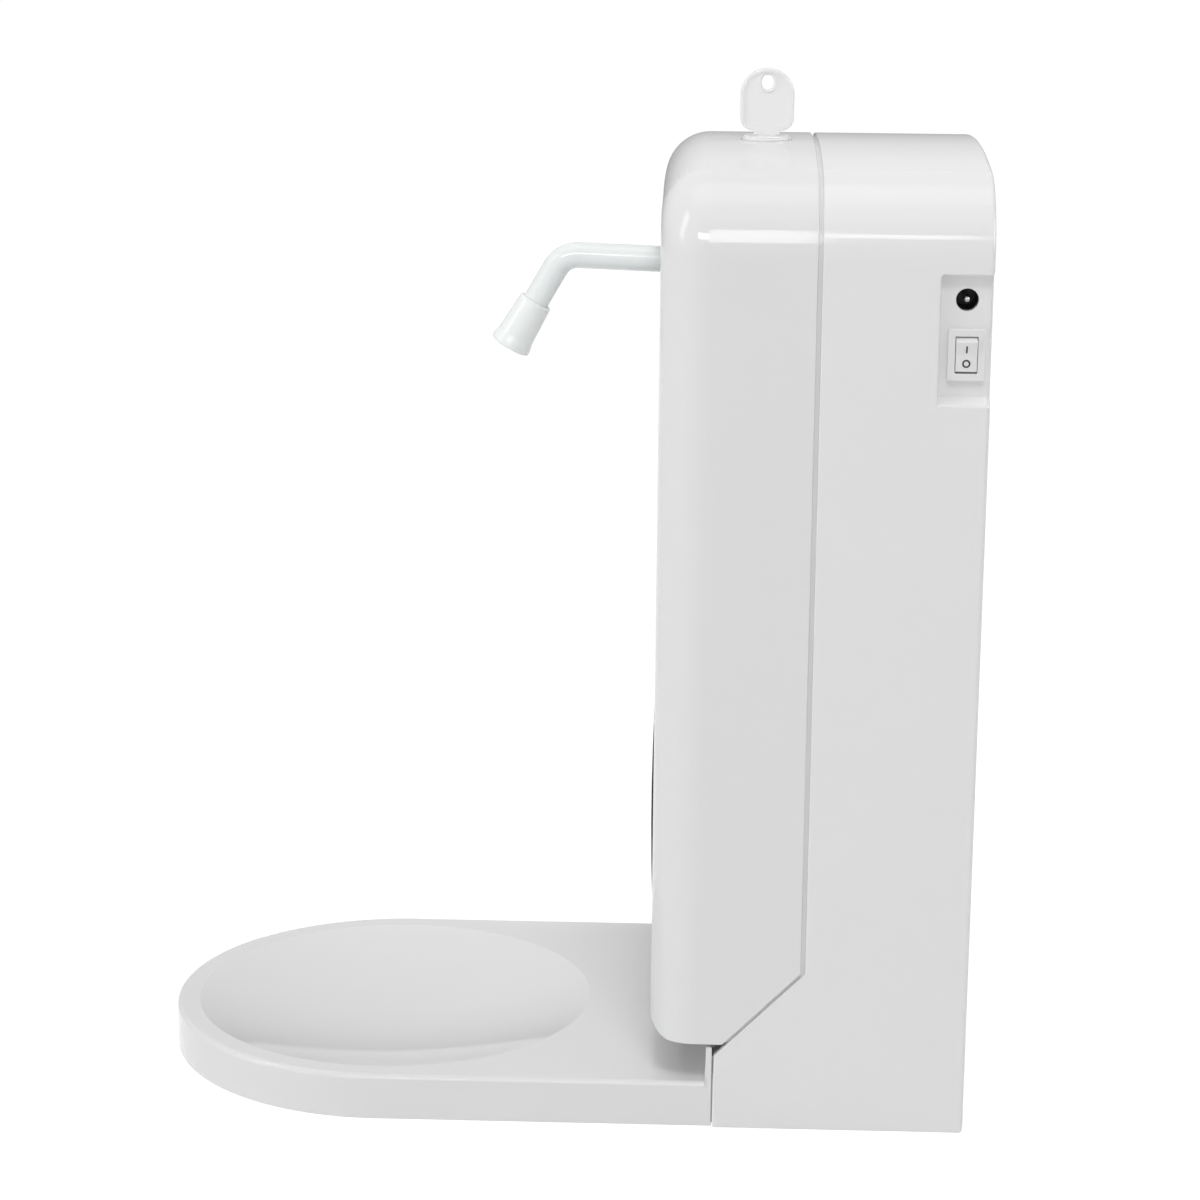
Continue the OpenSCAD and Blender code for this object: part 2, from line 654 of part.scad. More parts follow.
module key() color(bright) translate([0, at(lock_d), 0]) difference() {
    union() {
        along_x(-key_t / 2, key_t / 2) {
            translate([0, bow_z + bow_h - bow_w / 2]) circle(bow_w / 2);
            translate([0, bow_z + (bow_h - bow_w / 2 + 4) / 2]) soft_2d(bow_w, bow_h - bow_w / 2 + 4, 4);
            translate([-4, seat_z + collar_h]) square([8, bow_z - seat_z - collar_h + 4]);
            translate([-blade_w / 2, seat_z + collar_h - blade_l]) square([blade_w, blade_l + 1]);
        }
    }
    // Shallow panels leave a rim on both faces
    for (s = [-1, 1]) along_x(s > 0 ? key_t / 2 - 0.35 : -key_t / 2 - cut, s > 0 ? key_t / 2 + cut : -key_t / 2 + 0.35) difference() {
        union() {
            translate([0, bow_z + bow_h - bow_w / 2]) circle(bow_w / 2 - 1.1);
            translate([0, bow_z + 1.1 + (bow_h - bow_w / 2) / 2]) soft_2d(bow_w - 2.2, bow_h - bow_w / 2, 3);
        }
        translate([0, bow_z + bow_h - 4.3]) circle(2.8);
    }
    along_x(-key_t, key_t) translate([0, bow_z + bow_h - 4.3]) slot_2d(3.7, 4.5);
}

// Frame on the spout axis at the front of the cover, level part along y
module spout_frame() translate([0, front_y, spout_z]) rotate([-spout_tilt, 0, 0]) children();

module leg_frame() spout_frame() translate([0, -spout_reach / cos(spout_tilt), 0]) rotate([spout_turn, 0, 0]) children();

// Pipe along y, and the bead that joins two lengths of pipe
module pipe_y(r, b, y0, y1) difference() {
    bar_y(r, y0, y1);
    bar_y(b, y0 - cut, y1 + cut);
}
module bead_y(r, b, y) pipe_y(r + 0.04, b - 0.04, y - 0.15, y + 0.15);

module spout_tube() color(cool) {
    u = spout_reach / cos(spout_tilt) - corner_t;
    s = spout_in - spigot_l - 0.4;
    spout_frame() {
        pipe_y(spout_r, bore_r, -u, s);
        translate([0, -u, -spout_bend]) rotate([0, -90, 180]) rotate_extrude(angle = spout_turn) translate([spout_bend, 0]) difference() {
            circle(spout_r);
            circle(bore_r);
        }
        bead_y(spout_r, bore_r, -u);
        pipe_y(barb_r, bore_r, s - 2, spout_in - 0.2);
    }
    leg_frame() {
        pipe_y(spout_r, bore_r, -leg_l + 1.5, -corner_t);
        bead_y(spout_r, bore_r, -corner_t);
    }
}

// Soft nozzle pushed over the end of the spout
module spout_nozzle() color(cool) leg_frame() translate([0, -leg_l, 0]) rotate([90, 0, 0]) rotate_extrude() polygon([
    [spout_r + run_gap, -1.5], [spout_r + run_gap, -nozzle_l], [spout_r + 0.9, -nozzle_l], [spout_r + 1.2, -nozzle_l + 0.5],
    [nozzle_r - 0.6, -4], [nozzle_r, -1.6], [nozzle_r, -0.4], [nozzle_r - 0.4, 0],
    [nozzle_r - 1.4, 0], [2.4, -1.4], [2.4, -1.5]]);

module spout_clamp() color(bright) difference() {
    translate([-clamp_w / 2, at(post_d + clamp_l / 2), post_z]) cube([clamp_w, clamp_l, spout_r + clamp_t]);
    spout_frame() bar_y(spout_r + run_gap, -cut, spout_in);
    clamp_points() cylinder(r = screw_r + fit_gap, h = 2 * (spout_r + clamp_t));
}

module clamp_screws() color(steel) clamp_points() translate([0, 0, spout_r + clamp_t]) screw(screw_r, spout_r + clamp_t + clamp_bite);

// Hose from the pump up and forward on to the spout
module delivery_hose() color(clear) {
    b = barb_r + run_gap;
    translate([0, at(feed_d), 0]) rotate([90, 0, 0]) {
        pipe_y(hose_r, b, pump_z + pump_hh, hose_top_z);
        bead_y(hose_r, b, hose_top_z);
    }
    translate([0, at(feed_d + hose_bend), hose_top_z]) rotate([90, 0, 90]) rotate_extrude(angle = 90 - spout_tilt)
        translate([hose_bend, 0]) difference() {
            circle(hose_r);
            circle(b);
        }
    spout_frame() {
        pipe_y(hose_r, b, spout_in - spigot_l, spout_in);
        bead_y(hose_r, b, spout_in);
    }
}

// Bottle with rounded corners, sloped top and threaded neck
module bottle_form(inset, low) {
    module plan(w, d) soft_2d(w, d, 12 - inset);
    translate([0, at(feed_d), 0]) {
        translate([0, 0, bottle_z + low]) linear_extrude(bottle_body - low) plan(bottle_w - 2 * inset, bottle_d - 2 * inset);
        hull() {
            translate([0, 0, bottle_z + bottle_body - 1]) linear_extrude(1) plan(bottle_w - 2 * inset, bottle_d - 2 * inset, $fn = 32);
            translate([0, 0, bottle_z + bottle_body + slope_h - 1 - inset]) linear_extrude(1) plan(bottle_w - 30 - 2 * inset, bottle_d - 12 - 2 * inset, $fn = 32);
        }
        translate([0, 0, bottle_z + bottle_body]) cylinder(r = neck_r - inset, h = slope_h + neck_h + low);
    }
}

module bottle() color(clear) difference() {
    bottle_form(0, 0);
    bottle_form(bottle_t, bottle_t);
}

module bottle_cap() color(white) translate([0, at(feed_d), 0]) difference() {
    union() {
        translate([0, 0, cap_z]) cylinder(r = neck_r + 2, h = cap_h);
        translate([0, 0, cap_z + cap_h - bite]) cylinder(r = barb_r, h = 8 + bite);
        for (a = [0 : 12 : 348]) rotate([0, 0, a]) translate([neck_r + 1.9, 0, cap_z]) cylinder(r = 0.6, h = cap_h - 1);
    }
    translate([0, 0, cap_z - cut]) cylinder(r = neck_r + fit_gap, h = bottle_top - cap_z + cut);
    translate([0, 0, cap_z - cut]) cylinder(r = bore_r, h = cap_h + 12);
    translate([0, 0, bottle_top - cut]) cylinder(r = bore_r + 0.8 + run_gap, h = cut + 1.5);
}

module dip_tube() color(clear) translate([0, at(feed_d), 0]) difference() {
    translate([0, 0, bottle_z + 6]) cylinder(r = bore_r + 0.8, h = bottle_top + 1.4 - bottle_z - 6);
    translate([0, 0, bottle_z]) cylinder(r = bore_r, h = bottle_top);
}

module suction_hose() color(clear) translate([0, at(feed_d), 0]) difference() {
    translate([0, 0, cap_z + cap_h]) cylinder(r = hose_r, h = pump_z - pump_hh - cap_z - cap_h);
    translate([0, 0, cap_z]) cylinder(r = barb_r + run_gap, h = pump_z);
}

// Gear pump
function inv(a) = tan(a) * 180 / PI - a;
base_r = pitch_r * cos(20);
tip_r = pitch_r + 0.85 * gear_m;
root_r = pitch_r - 1.1 * gear_m;
half_deg = 90 / gear_n - 0.9 + inv(20);
function flank(r) = half_deg - inv(acos(min(1, base_r / r)));
rs = [base_r, base_r + 0.3 * (tip_r - base_r), base_r + 0.65 * (tip_r - base_r), tip_r];

module gear_2d() polygon([for (k = [0 : gear_n - 1]) let (c = k * 360 / gear_n) each concat(
    [[root_r * cos(c - half_deg), root_r * sin(c - half_deg)]],
    [for (r = rs) [r * cos(c - flank(r)), r * sin(c - flank(r))]],
    [for (i = [3, 2, 1, 0]) [rs[i] * cos(c + flank(rs[i])), rs[i] * sin(c + flank(rs[i]))]],
    [[root_r * cos(c + half_deg), root_r * sin(c + half_deg)]])]);

module pump_points() for (sy = [-1, 1], sz = [-1, 1]) translate([chamber_x + plate_t, at(feed_d) + sy * pump_bolt_y, pump_z + sz * pump_bolt_z]) children();

module pump_body() color(bright) difference() {
    union() {
        along_x(pump_x0, chamber_x) translate([at(feed_d), pump_z]) soft_2d(2 * pump_hw, 2 * pump_hh, 3);
        translate([0, at(feed_d), pump_z - pump_hh - 7]) cylinder(r = barb_r, h = 2 * pump_hh + 12);
    }
    for (d = [drive_d, idle_d]) translate([0, at(d), pump_z]) bar_x(tip_r + 0.15, -chamber_x, chamber_x + cut);
    for (s = [0, 1]) translate([0, at(feed_d), s > 0 ? pump_z + 2 : pump_z - pump_hh - 8]) cylinder(r = bore_r, h = pump_hh + 6);
    translate([0, at(drive_d), pump_z]) {
        bar_x(shaft_r + run_gap, pump_x0 - cut, 0);
        bar_x(4 + 0.01, pump_x0 - cut, pump_x0 + 3);
    }
    translate([0, at(idle_d), pump_z]) bar_x(1.5 + 0.01, -chamber_x - 3, 0);
    pump_points() bar_x(pilot_r, -pump_bolt_l - cut, 0);
}

module pump_plate() color(bright) difference() {
    along_x(chamber_x, chamber_x + plate_t) translate([at(feed_d), pump_z]) soft_2d(2 * pump_hw, 2 * pump_hh, 3);
    pump_points() bar_x(screw_r + fit_gap, -plate_t - cut, cut);
    translate([0, at(idle_d), pump_z]) bar_x(1.5 + 0.01, chamber_x - cut, chamber_x + 2);
}

module pump_screws() color(steel) pump_points() rotate([0, 90, 0]) screw(screw_r, pump_bolt_l);

module drive_gear() color(white) translate([0, at(drive_d), pump_z]) difference() {
    along_x(-gear_w / 2, gear_w / 2) gear_2d();
    bar_x(shaft_r + 0.01, -gear_w, gear_w);
}

module idler_gear() color(white) translate([0, at(idle_d), pump_z]) difference() {
    along_x(-gear_w / 2, gear_w / 2) rotate((gear_n % 2 == 0) ? 180 / gear_n : 0) gear_2d();
    bar_x(1.5 + run_gap, -gear_w, gear_w);
}

module motor_shaft() color(steel) translate([0, at(drive_d), pump_z]) bar_x(shaft_r, pump_x0 - 4, gear_w / 2);
module idler_shaft() color(steel) translate([0, at(idle_d), pump_z]) bar_x(1.5, -chamber_x - 2.8, chamber_x + 1.8);

module shaft_seal() color(black) translate([0, at(drive_d), pump_z]) difference() {
    bar_x(4, pump_x0, pump_x0 + 3);
    bar_x(shaft_r + run_gap, pump_x0 - cut, pump_x0 + 4);
}

module motor() color(steel) translate([0, at(drive_d), pump_z]) difference() {
    union() {
        bar_x(motor_r, pump_x0 - motor_l, pump_x0);
        bar_x(5, pump_x0 - motor_l - 2, pump_x0 - motor_l + 1);
        for (s = [-1, 1]) translate([pump_x0 - motor_l - 4, s * 7.5 - 0.3, -1.2]) cube([5, 0.6, 2.4]);
    }
    bar_x(shaft_r + run_gap, pump_x0 - 5, pump_x0 + cut);
}

module motor_strap() color(steel) difference() {
    along_x(pump_x0 - strap_in - strap_w / 2, pump_x0 - strap_in + strap_w / 2) translate([at(drive_d), pump_z]) difference() {
        union() {
            circle(motor_r + strap_t);
            translate([-motor_r - strap_t, deck_z - pump_z]) square([2 * (motor_r + strap_t), pump_z - deck_z]);
            translate([-motor_r - strap_foot, deck_z - pump_z]) square([2 * (motor_r + strap_foot), strap_t]);
        }
        circle(motor_r + run_gap);
        translate([-motor_r - run_gap, deck_z - pump_z - cut]) square([2 * (motor_r + run_gap), pump_z - deck_z + cut]);
    }
    strap_points() translate([0, 0, -cut]) cylinder(r = screw_r + fit_gap, h = 5);
}

module strap_screws() color(steel) strap_points() translate([0, 0, strap_t]) screw(screw_r, strap_t + deck_t - 0.2);

// Control board with its parts
module control_board() color(green) difference() {
    along_y(at(board_d + pcb_t), at(board_d)) translate([board_x, board_z + board_h / 2]) soft_2d(board_w, board_h, 2);
    board_points() bar_y(1 + fit_gap, -pcb_t - cut, cut);
}

module board_parts() color(black) {
    f = board_d + pcb_t;
    translate([board_x - board_w / 3, at(f + relay[1]), board_z + board_h / 4]) cube(relay);
    translate([board_x - chip[0] / 2, at(f + chip[1]), board_z + board_h / 2 - 2]) cube(chip);
    for (i = [1, 2]) translate([board_x + 1.3 * can_r + i * 2.4 * can_r, 0, board_z + board_h / 3]) bar_y(can_r, at(f + can_l), at(f));
    for (i = [-2 : 1]) translate([board_x + i * plug_p + plug[2], at(f + plug[1]), board_z + board_h - 2 * plug[2]]) cube(plug);
    translate([board_x - board_w / 3.5, at(f + coil[1]), board_z + board_h / 4 + 1.5 * relay[2]]) cube(coil);
}

module board_screws() color(steel) board_points() translate([0, -pcb_t, 0]) rotate([90, 0, 0]) screw(small_r, pcb_t + small_l / 2);

// Rocker switch: frame in the recess, rocker on two studs, terminals behind
module switch_frame() color(white) difference() {
    union() {
        along_x(recess_x, recess_x + frame_t) translate([at(switch_d), switch_z]) soft_2d(switch_w, switch_h, 0.8);
        translate([recess_x - switch_in, at(switch_d) - body_sw / 2, switch_z - body_sh / 2]) cube([switch_in + bite, body_sw, body_sh]);
    }
    translate([rock_x - 4.5, at(switch_d) - rock_w / 2 - fit_gap, switch_z - rock_r - fit_gap])
        cube([20, rock_w + 2 * fit_gap, 2 * rock_r + 2 * fit_gap]);
    translate([rock_x, at(switch_d), switch_z]) bar_y(1 + run_gap, -rock_w / 2 - 0.6, rock_w / 2 + 0.6);
}

// Lower face flush with the frame, upper face standing out until pressed
module switch_rocker() color(bright) translate([rock_x, at(switch_d), switch_z]) {
    rotate([90, 0, 0]) translate([0, 0, -rock_w / 2]) linear_extrude(rock_w) intersection() {
        circle(rock_r);
        polygon([[-2.4, -8], [2.3, -8], [2.3, 0], [2.3 + 8 * tan(rock_deg), 8], [-2.4, 8]]);
    }
    bar_y(1, -rock_w / 2 - 0.5, rock_w / 2 + 0.5);
}

module switch_terminals() color(steel) for (z = [-4.2, 4.2]) translate([recess_x - 18.5, at(switch_d) - 2.4, switch_z + z - 0.4]) cube([6.5, 4.8, 0.8]);

// Coaxial power inlet behind the recess
module inlet_body() color(black) translate([0, at(inlet_d), inlet_z]) difference() {
    bar_x(inlet_r + 1.4, recess_x - recess_floor - 12, recess_x - recess_floor);
    bar_x(inlet_r - 0.15, recess_x - recess_floor - 9.5, recess_x + cut);
    bar_x(1.05, recess_x - recess_floor - 14, recess_x);
}

module inlet_pin() color(steel) translate([0, at(inlet_d), inlet_z]) {
    bar_x(1.04, recess_x - recess_floor - 12, recess_x - 1.6);
    translate([recess_x - 1.6, 0, 0]) sphere(1.04);
}

module inlet_tabs() color(steel) translate([recess_x - recess_floor - 17, at(inlet_d), inlet_z]) {
    for (z = [-3, 2]) translate([0, -1.2, z]) cube([5, 2.4, 0.8]);
}

// Four cells in a holder on the back wall
module battery_holder() color(black) difference() {
    union() {
        translate([-hold_w / 2, at(wall + hold_d), hold_z]) cube([hold_w, hold_d, hold_h]);
        translate([-ear_x - 4, at(wall + 6), hold_z + hold_h / 2 - 4]) cube([2 * ear_x + 8, 2, 8]);
    }
    translate([-2 * cell_p, at(wall + hold_d + cut), hold_z + 1.8]) cube([4 * cell_p, hold_d - 1.3 + cut, hold_h - 3.6]);
    holder_points() bar_y(screw_r + fit_gap, -4, 4);
}

module battery_cells() color(grey) for (i = [0 : 3]) {
    flip = i % 2;
    translate([(i - 1.5) * cell_p, at(wall + 1.5 + cell_r), hold_z + hold_h / 2]) rotate([0, flip * 180, 0]) {
        translate([0, 0, -cell_l / 2]) cylinder(r = cell_r, h = cell_l - 1.5);
        translate([0, 0, cell_l / 2 - 2]) cylinder(r = 2.7, h = 2);
    }
}

module battery_contacts() color(steel) {
    for (i = [0 : 3]) {
        up = i % 2 == 0;
        translate([(i - 1.5) * cell_p - 5, at(wall + 1.5 + cell_r) - 5, up ? hold_z + hold_h - 2.3 : hold_z + 1.8]) cube([10, 10, 0.5]);
        translate([(i - 1.5) * cell_p - 5, at(wall + 1.5 + cell_r) - 5, up ? hold_z + 1.8 : hold_z + hold_h - 2.3]) cube([10, 10, 0.5]);
        translate([(i - 1.5) * cell_p, at(wall + 1.5 + cell_r), up ? hold_z + 2 : hold_z + hold_h - 2 - (hold_h - cell_l) / 2 + 2]) cylinder(r = 3.4, h = (hold_h - cell_l) / 2 - 2.05);
        translate([(i - 1.5) * cell_p, at(wall + 1.5 + cell_r), up ? hold_z + hold_h - 2 - (hold_h - cell_l) / 2 + 2.05 : hold_z + 2]) cylinder(r = 1.6, h = (hold_h - cell_l) / 2 - 2.05);
    }
}

module holder_screws() color(steel) holder_points() translate([0, -2, 0]) rotate([90, 0, 0]) screw(screw_r, 5.6);

// Plain block on the round-ended plan of the tray
module tray_plan(r, y1, z0, z1) {
    translate([0, round_y, z0]) cylinder(r = r, h = z1 - z0, $fn = 144);
    translate([-r, round_y, z0]) cube([2 * r, y1 - round_y, z1 - z0]);
}

// Outside of the tray, with its rounded rim
module tray_form() {
    r = tray_w / 2;
    translate([0, round_y, 0]) rotate_extrude($fn = 144) {
        square([r, tray_h - rim_r]);
        square([r - rim_r, tray_h]);
        translate([r - rim_r, tray_h - rim_r]) circle(rim_r);
    }
    along_y(round_y, tray_y) {
        translate([-r, 0]) square([2 * r, tray_h - rim_r]);
        translate([-r + rim_r, 0]) square([2 * r - 2 * rim_r, tray_h]);
        for (s = [-1, 1]) translate([s * (r - rim_r), tray_h - rim_r]) circle(rim_r);
    }
}

module dish(r) translate([0, round_y, tray_h - dish_h + dish_s]) sphere(r, $fn = 200);

// Drip tray: round-ended shell with a dish, rear upstand and two tongues
module drip_tray() color(white) {
    difference() {
        union() {
            tray_form();
            translate([-tray_w / 2, tray_y - upstand_t, 0]) cube([tray_w, upstand_t, cover_z - 1.2]);
            for (s = [-1, 1]) translate([s * tongue_x - tongue_w / 2, tray_y - bite, tongue_z]) cube([tongue_w, tongue_l + bite, tongue_t]);
            // Pad that sets the tray square to the plinth
            translate([-tongue_x - 4, tray_y - bite, 2]) cube([2 * tongue_x + 8, tray_gap - fit_gap + bite, plinth_h - 3]);
        }
        dish(dish_s);
        difference() {
            tray_plan(tray_w / 2 - tray_t, tray_y - tray_t, -cut, tray_h - tray_t);
            dish(dish_s + tray_t);
            for (s = [-1, 1]) translate([s * 46 - 0.8, round_y - tray_w, 1]) cube([1.6, 2 * tray_w + tray_l, tray_h]);
        }
    }
}

rear_housing();
base_plate();
base_screws();
pump_deck();
deck_screws();
hinge_pins();
front_cover();
sensor_window();
sensor_board();
sensor_diodes();
sensor_screws();
lock_barrel();
lock_cam();
cam_screw();
key();
spout_tube();
spout_nozzle();
spout_clamp();
clamp_screws();
delivery_hose();
bottle();
bottle_cap();
dip_tube();
suction_hose();
pump_body();
pump_plate();
pump_screws();
drive_gear();
idler_gear();
motor_shaft();
idler_shaft();
shaft_seal();
motor();
motor_strap();
strap_screws();
control_board();
board_parts();
board_screws();
switch_frame();
switch_rocker();
switch_terminals();
inlet_body();
inlet_pin();
inlet_tabs();
battery_holder();
battery_cells();
battery_contacts();
holder_screws();
drip_tray();
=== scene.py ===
import json
import math

import bmesh
import bpy
from mathutils import Matrix, Vector
from mathutils.bvhtree import BVHTree
from mathutils.interpolate import poly_3d_calc

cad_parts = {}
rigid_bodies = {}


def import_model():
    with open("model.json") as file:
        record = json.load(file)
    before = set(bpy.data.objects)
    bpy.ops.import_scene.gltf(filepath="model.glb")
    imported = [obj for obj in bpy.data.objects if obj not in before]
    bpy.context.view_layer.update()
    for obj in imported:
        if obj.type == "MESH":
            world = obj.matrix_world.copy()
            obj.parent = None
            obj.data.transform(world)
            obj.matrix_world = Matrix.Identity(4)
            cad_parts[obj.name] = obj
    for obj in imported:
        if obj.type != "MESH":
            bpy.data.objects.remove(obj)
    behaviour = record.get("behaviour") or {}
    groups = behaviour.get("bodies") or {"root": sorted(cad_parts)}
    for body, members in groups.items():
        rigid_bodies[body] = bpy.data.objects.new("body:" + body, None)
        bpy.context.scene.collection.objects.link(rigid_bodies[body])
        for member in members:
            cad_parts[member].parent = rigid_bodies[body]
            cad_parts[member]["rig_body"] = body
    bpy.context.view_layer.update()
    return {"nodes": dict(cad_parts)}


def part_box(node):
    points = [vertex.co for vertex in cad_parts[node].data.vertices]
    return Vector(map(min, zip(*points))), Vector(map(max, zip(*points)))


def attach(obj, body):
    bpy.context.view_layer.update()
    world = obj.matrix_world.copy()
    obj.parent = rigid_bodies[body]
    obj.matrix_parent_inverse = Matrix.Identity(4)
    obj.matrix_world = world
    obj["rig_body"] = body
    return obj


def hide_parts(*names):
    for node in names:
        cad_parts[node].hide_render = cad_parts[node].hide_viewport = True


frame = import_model()
nodes = frame["nodes"]
mm = 0.001

# Camera: a long lens on the switch side of the dispenser, a little above its roof.
# Its place, turn and focal length follow from the edges of the body in the photograph.
camera_place = Vector((989.84, -32.24, 399.05)) * mm
camera_yaw = 0.0348
camera_pitch = 0.2484
camera_roll = 0.0086
sensor_width = 36
focal_length = 96.65
sight = Vector((
    -math.cos(camera_pitch) * math.cos(camera_yaw),
    -math.cos(camera_pitch) * math.sin(camera_yaw),
    -math.sin(camera_pitch),
))
level = Vector((-math.sin(camera_yaw), math.cos(camera_yaw), 0))
plumb = level.cross(sight)
to_right = math.cos(camera_roll) * level + math.sin(camera_roll) * plumb
to_top = math.cos(camera_roll) * plumb - math.sin(camera_roll) * level
lens = bpy.data.cameras.new("photo_lens")
lens.sensor_width = sensor_width
lens.lens = focal_length
camera = bpy.data.objects.new("photo_camera", lens)
camera_turn = Matrix((to_right, to_top, -sight)).transposed().to_4x4()
camera.matrix_world = Matrix.Translation(camera_place) @ camera_turn
bpy.context.scene.collection.objects.link(camera)
bpy.context.scene.camera = camera
bpy.context.scene.view_settings.view_transform = "Standard"


class Wire:
    """A socket of a node tree. Arithmetic on wires adds the Math nodes that work it out."""

    def __init__(self, tree, socket=None):
        self.tree = tree
        self.socket = socket

    def node(self, kind, settings, inputs, output=0):
        """Adds a node, sets it up, then gives its sockets values or links."""
        made = self.tree.nodes.new(kind)
        for name, value in settings.items():
            setattr(made, name, value)
        for name, value in inputs.items():
            if isinstance(value, Wire):
                self.tree.links.new(value.socket, made.inputs[name])
            else:
                made.inputs[name].default_value = value
        return Wire(self.tree, made.outputs[output] if made.outputs else None)

    def math(self, operation, first, second):
        return self.node("ShaderNodeMath", {"operation": operation}, {0: first, 1: second})

    def __add__(self, other):
        return self.math("ADD", self, other)

    __radd__ = __add__

    def __mul__(self, other):
        return self.math("MULTIPLY", self, other)

    __rmul__ = __mul__

    def __sub__(self, other):
        return self.math("SUBTRACT", self, other)

    def __rsub__(self, other):
        return self.math("SUBTRACT", other, self)

    def __lt__(self, other):
        return self.math("LESS_THAN", self, other)

    def __gt__(self, other):
        return self.math("GREATER_THAN", self, other)


# Studio room: a white room whose plain light falls on the dispenser from all round.
# To the lens and in reflections the room is white.
room_light = 0.42
world = bpy.data.worlds.new("white_room")
bpy.context.scene.world = world
world.use_nodes = True
world.node_tree.nodes.clear()
room = Wire(world.node_tree)


def seen_by(wire):
    """1 for rays of the lens, of mirror images and through clear plastic, 0 for all others."""
    return (
        wire.node("ShaderNodeLightPath", {}, {}, "Is Camera Ray")
        + wire.node("ShaderNodeLightPath", {}, {}, "Is Glossy Ray")
        + wire.node("ShaderNodeLightPath", {}, {}, "Is Transmission Ray")
    )


strength = room_light + (1 - room_light) * seen_by(room)
glow = room.node("ShaderNodeBackground", {}, {"Color": (1, 1, 1, 1), "Strength": strength})
room.node("ShaderNodeOutputWorld", {}, {"Surface": glow})

# Studio floor: a wide sheet of white paper under the dispenser.
# It shows as white to the lens, keeps a trace of the shadow and is clear from below.
floor_size = 12
floor_shadow = 0.2
floor_white = 1.16
paper_colour = (0.88, 0.88, 0.88, 1)
floor_mesh = bpy.data.meshes.new("studio_floor")
slab = bmesh.new()
bmesh.ops.create_grid(slab, x_segments=1, y_segments=1, size=floor_size)
slab.to_mesh(floor_mesh)
slab.free()
floor = bpy.data.objects.new("studio_floor", floor_mesh)
bpy.context.scene.collection.objects.link(floor)
floor_paper = bpy.data.materials.new("floor_paper")
floor_paper.use_nodes = True
floor_paper.node_tree.nodes.clear()
paper = Wire(floor_paper.node_tree)
matt = paper.node("ShaderNodeBsdfDiffuse", {}, {"Color": paper_colour})
lit = paper.node("ShaderNodeEmission", {}, {"Color": (1, 1, 1, 1), "Strength": floor_white})
paper_mix = paper.node("ShaderNodeMixShader", {}, {
    "Fac": (1 - floor_shadow) * seen_by(paper), 1: matt, 2: lit,
})
below = paper.node("ShaderNodeNewGeometry", {}, {}, "Backfacing")
clear = paper.node("ShaderNodeBsdfTransparent", {}, {})
one_sided = paper.node("ShaderNodeMixShader", {}, {"Fac": below, 1: paper_mix, 2: clear})
paper.node("ShaderNodeOutputMaterial", {}, {"Surface": one_sided})
floor_mesh.materials.append(floor_paper)

# Grey card: a curved screen behind the dispenser, dark at its foot and pale at its top.
# Only the glossy plastic sees it. It gives the roof its darker far edge, and fades out towards its ends.
card_radius = 2.4
card_top = 1.5
card_dark = 0.3
card_pale = 0.95
card_fade = 1.2
card_start = math.radians(10)
card_sweep = math.radians(200)
card_steps = 60
card_full = -1.8
card_gone = 0.3
card_mesh = bpy.data.meshes.new("grey_card")
screen = bmesh.new()
foot = screen.verts.new((0, -card_radius, 0))
head = screen.verts.new((0, -card_radius, card_top))
bmesh.ops.rotate(
    screen, verts=screen.verts, cent=(0, 0, 0), matrix=Matrix.Rotation(card_start, 3, "Z"),
)
bmesh.ops.spin(
    screen, geom=[foot, head, screen.edges.new((foot, head))], cent=(0, 0, 0), axis=(0, 0, -1),
    angle=card_sweep, steps=card_steps,
)
screen.to_mesh(card_mesh)
screen.free()
card = bpy.data.objects.new("grey_card", card_mesh)
bpy.context.scene.collection.objects.link(card)
card_paint = bpy.data.materials.new("card_grey")
card_paint.use_nodes = True
card_paint.node_tree.nodes.clear()
shade = Wire(card_paint.node_tree)
card_point = shade.node("ShaderNodeTexCoord", {}, {}, "Object")
card_height = shade.node("ShaderNodeSeparateXYZ", {}, {"Vector": card_point}, "Z")
grey = shade.node("ShaderNodeMapRange", {}, {
    "Value": card_height, "From Max": card_fade, "To Min": card_dark, "To Max": card_pale,
})
card_depth = shade.node("ShaderNodeSeparateXYZ", {}, {"Vector": card_point}, "X")
card_end = shade.node("ShaderNodeMapRange", {}, {
    "Value": card_depth, "From Min": card_full, "From Max": card_gone,
})
card_glow = shade.node("ShaderNodeEmission", {}, {
    "Color": (1, 1, 1, 1), "Strength": grey + (1 - grey) * card_end,
})
shade.node("ShaderNodeOutputMaterial", {}, {"Surface": card_glow})
card_mesh.materials.append(card_paint)
card.visible_camera = False
card.visible_diffuse = False
card.visible_shadow = False
card.visible_transmission = False


# Lamps: soft boxes of an even brightness, where 1 is the white of the room.
# Tall and long ones draw the bright bands on the shoulders, some as mirror images alone.
# Wide ones fill without a mirror image.
def softbox(name, place, aim, width, height, radiance, mirrored=True, filling=True):
    """Hangs a soft box. A mirrored one shows in glossy skins, and a filling one lights matt ones."""
    lamp = bpy.data.lights.new(name, "AREA")
    lamp.shape = "RECTANGLE"
    lamp.size = width
    lamp.size_y = height
    lamp.energy = radiance * math.pi * width * height
    stand = bpy.data.objects.new(name, lamp)
    stand.location = place
    stand.rotation_mode = "QUATERNION"
    stand.rotation_quaternion = (Vector(aim) - Vector(place)).to_track_quat("-Z", "Y")
    stand.visible_glossy = mirrored
    stand.visible_diffuse = filling
    bpy.context.scene.collection.objects.link(stand)


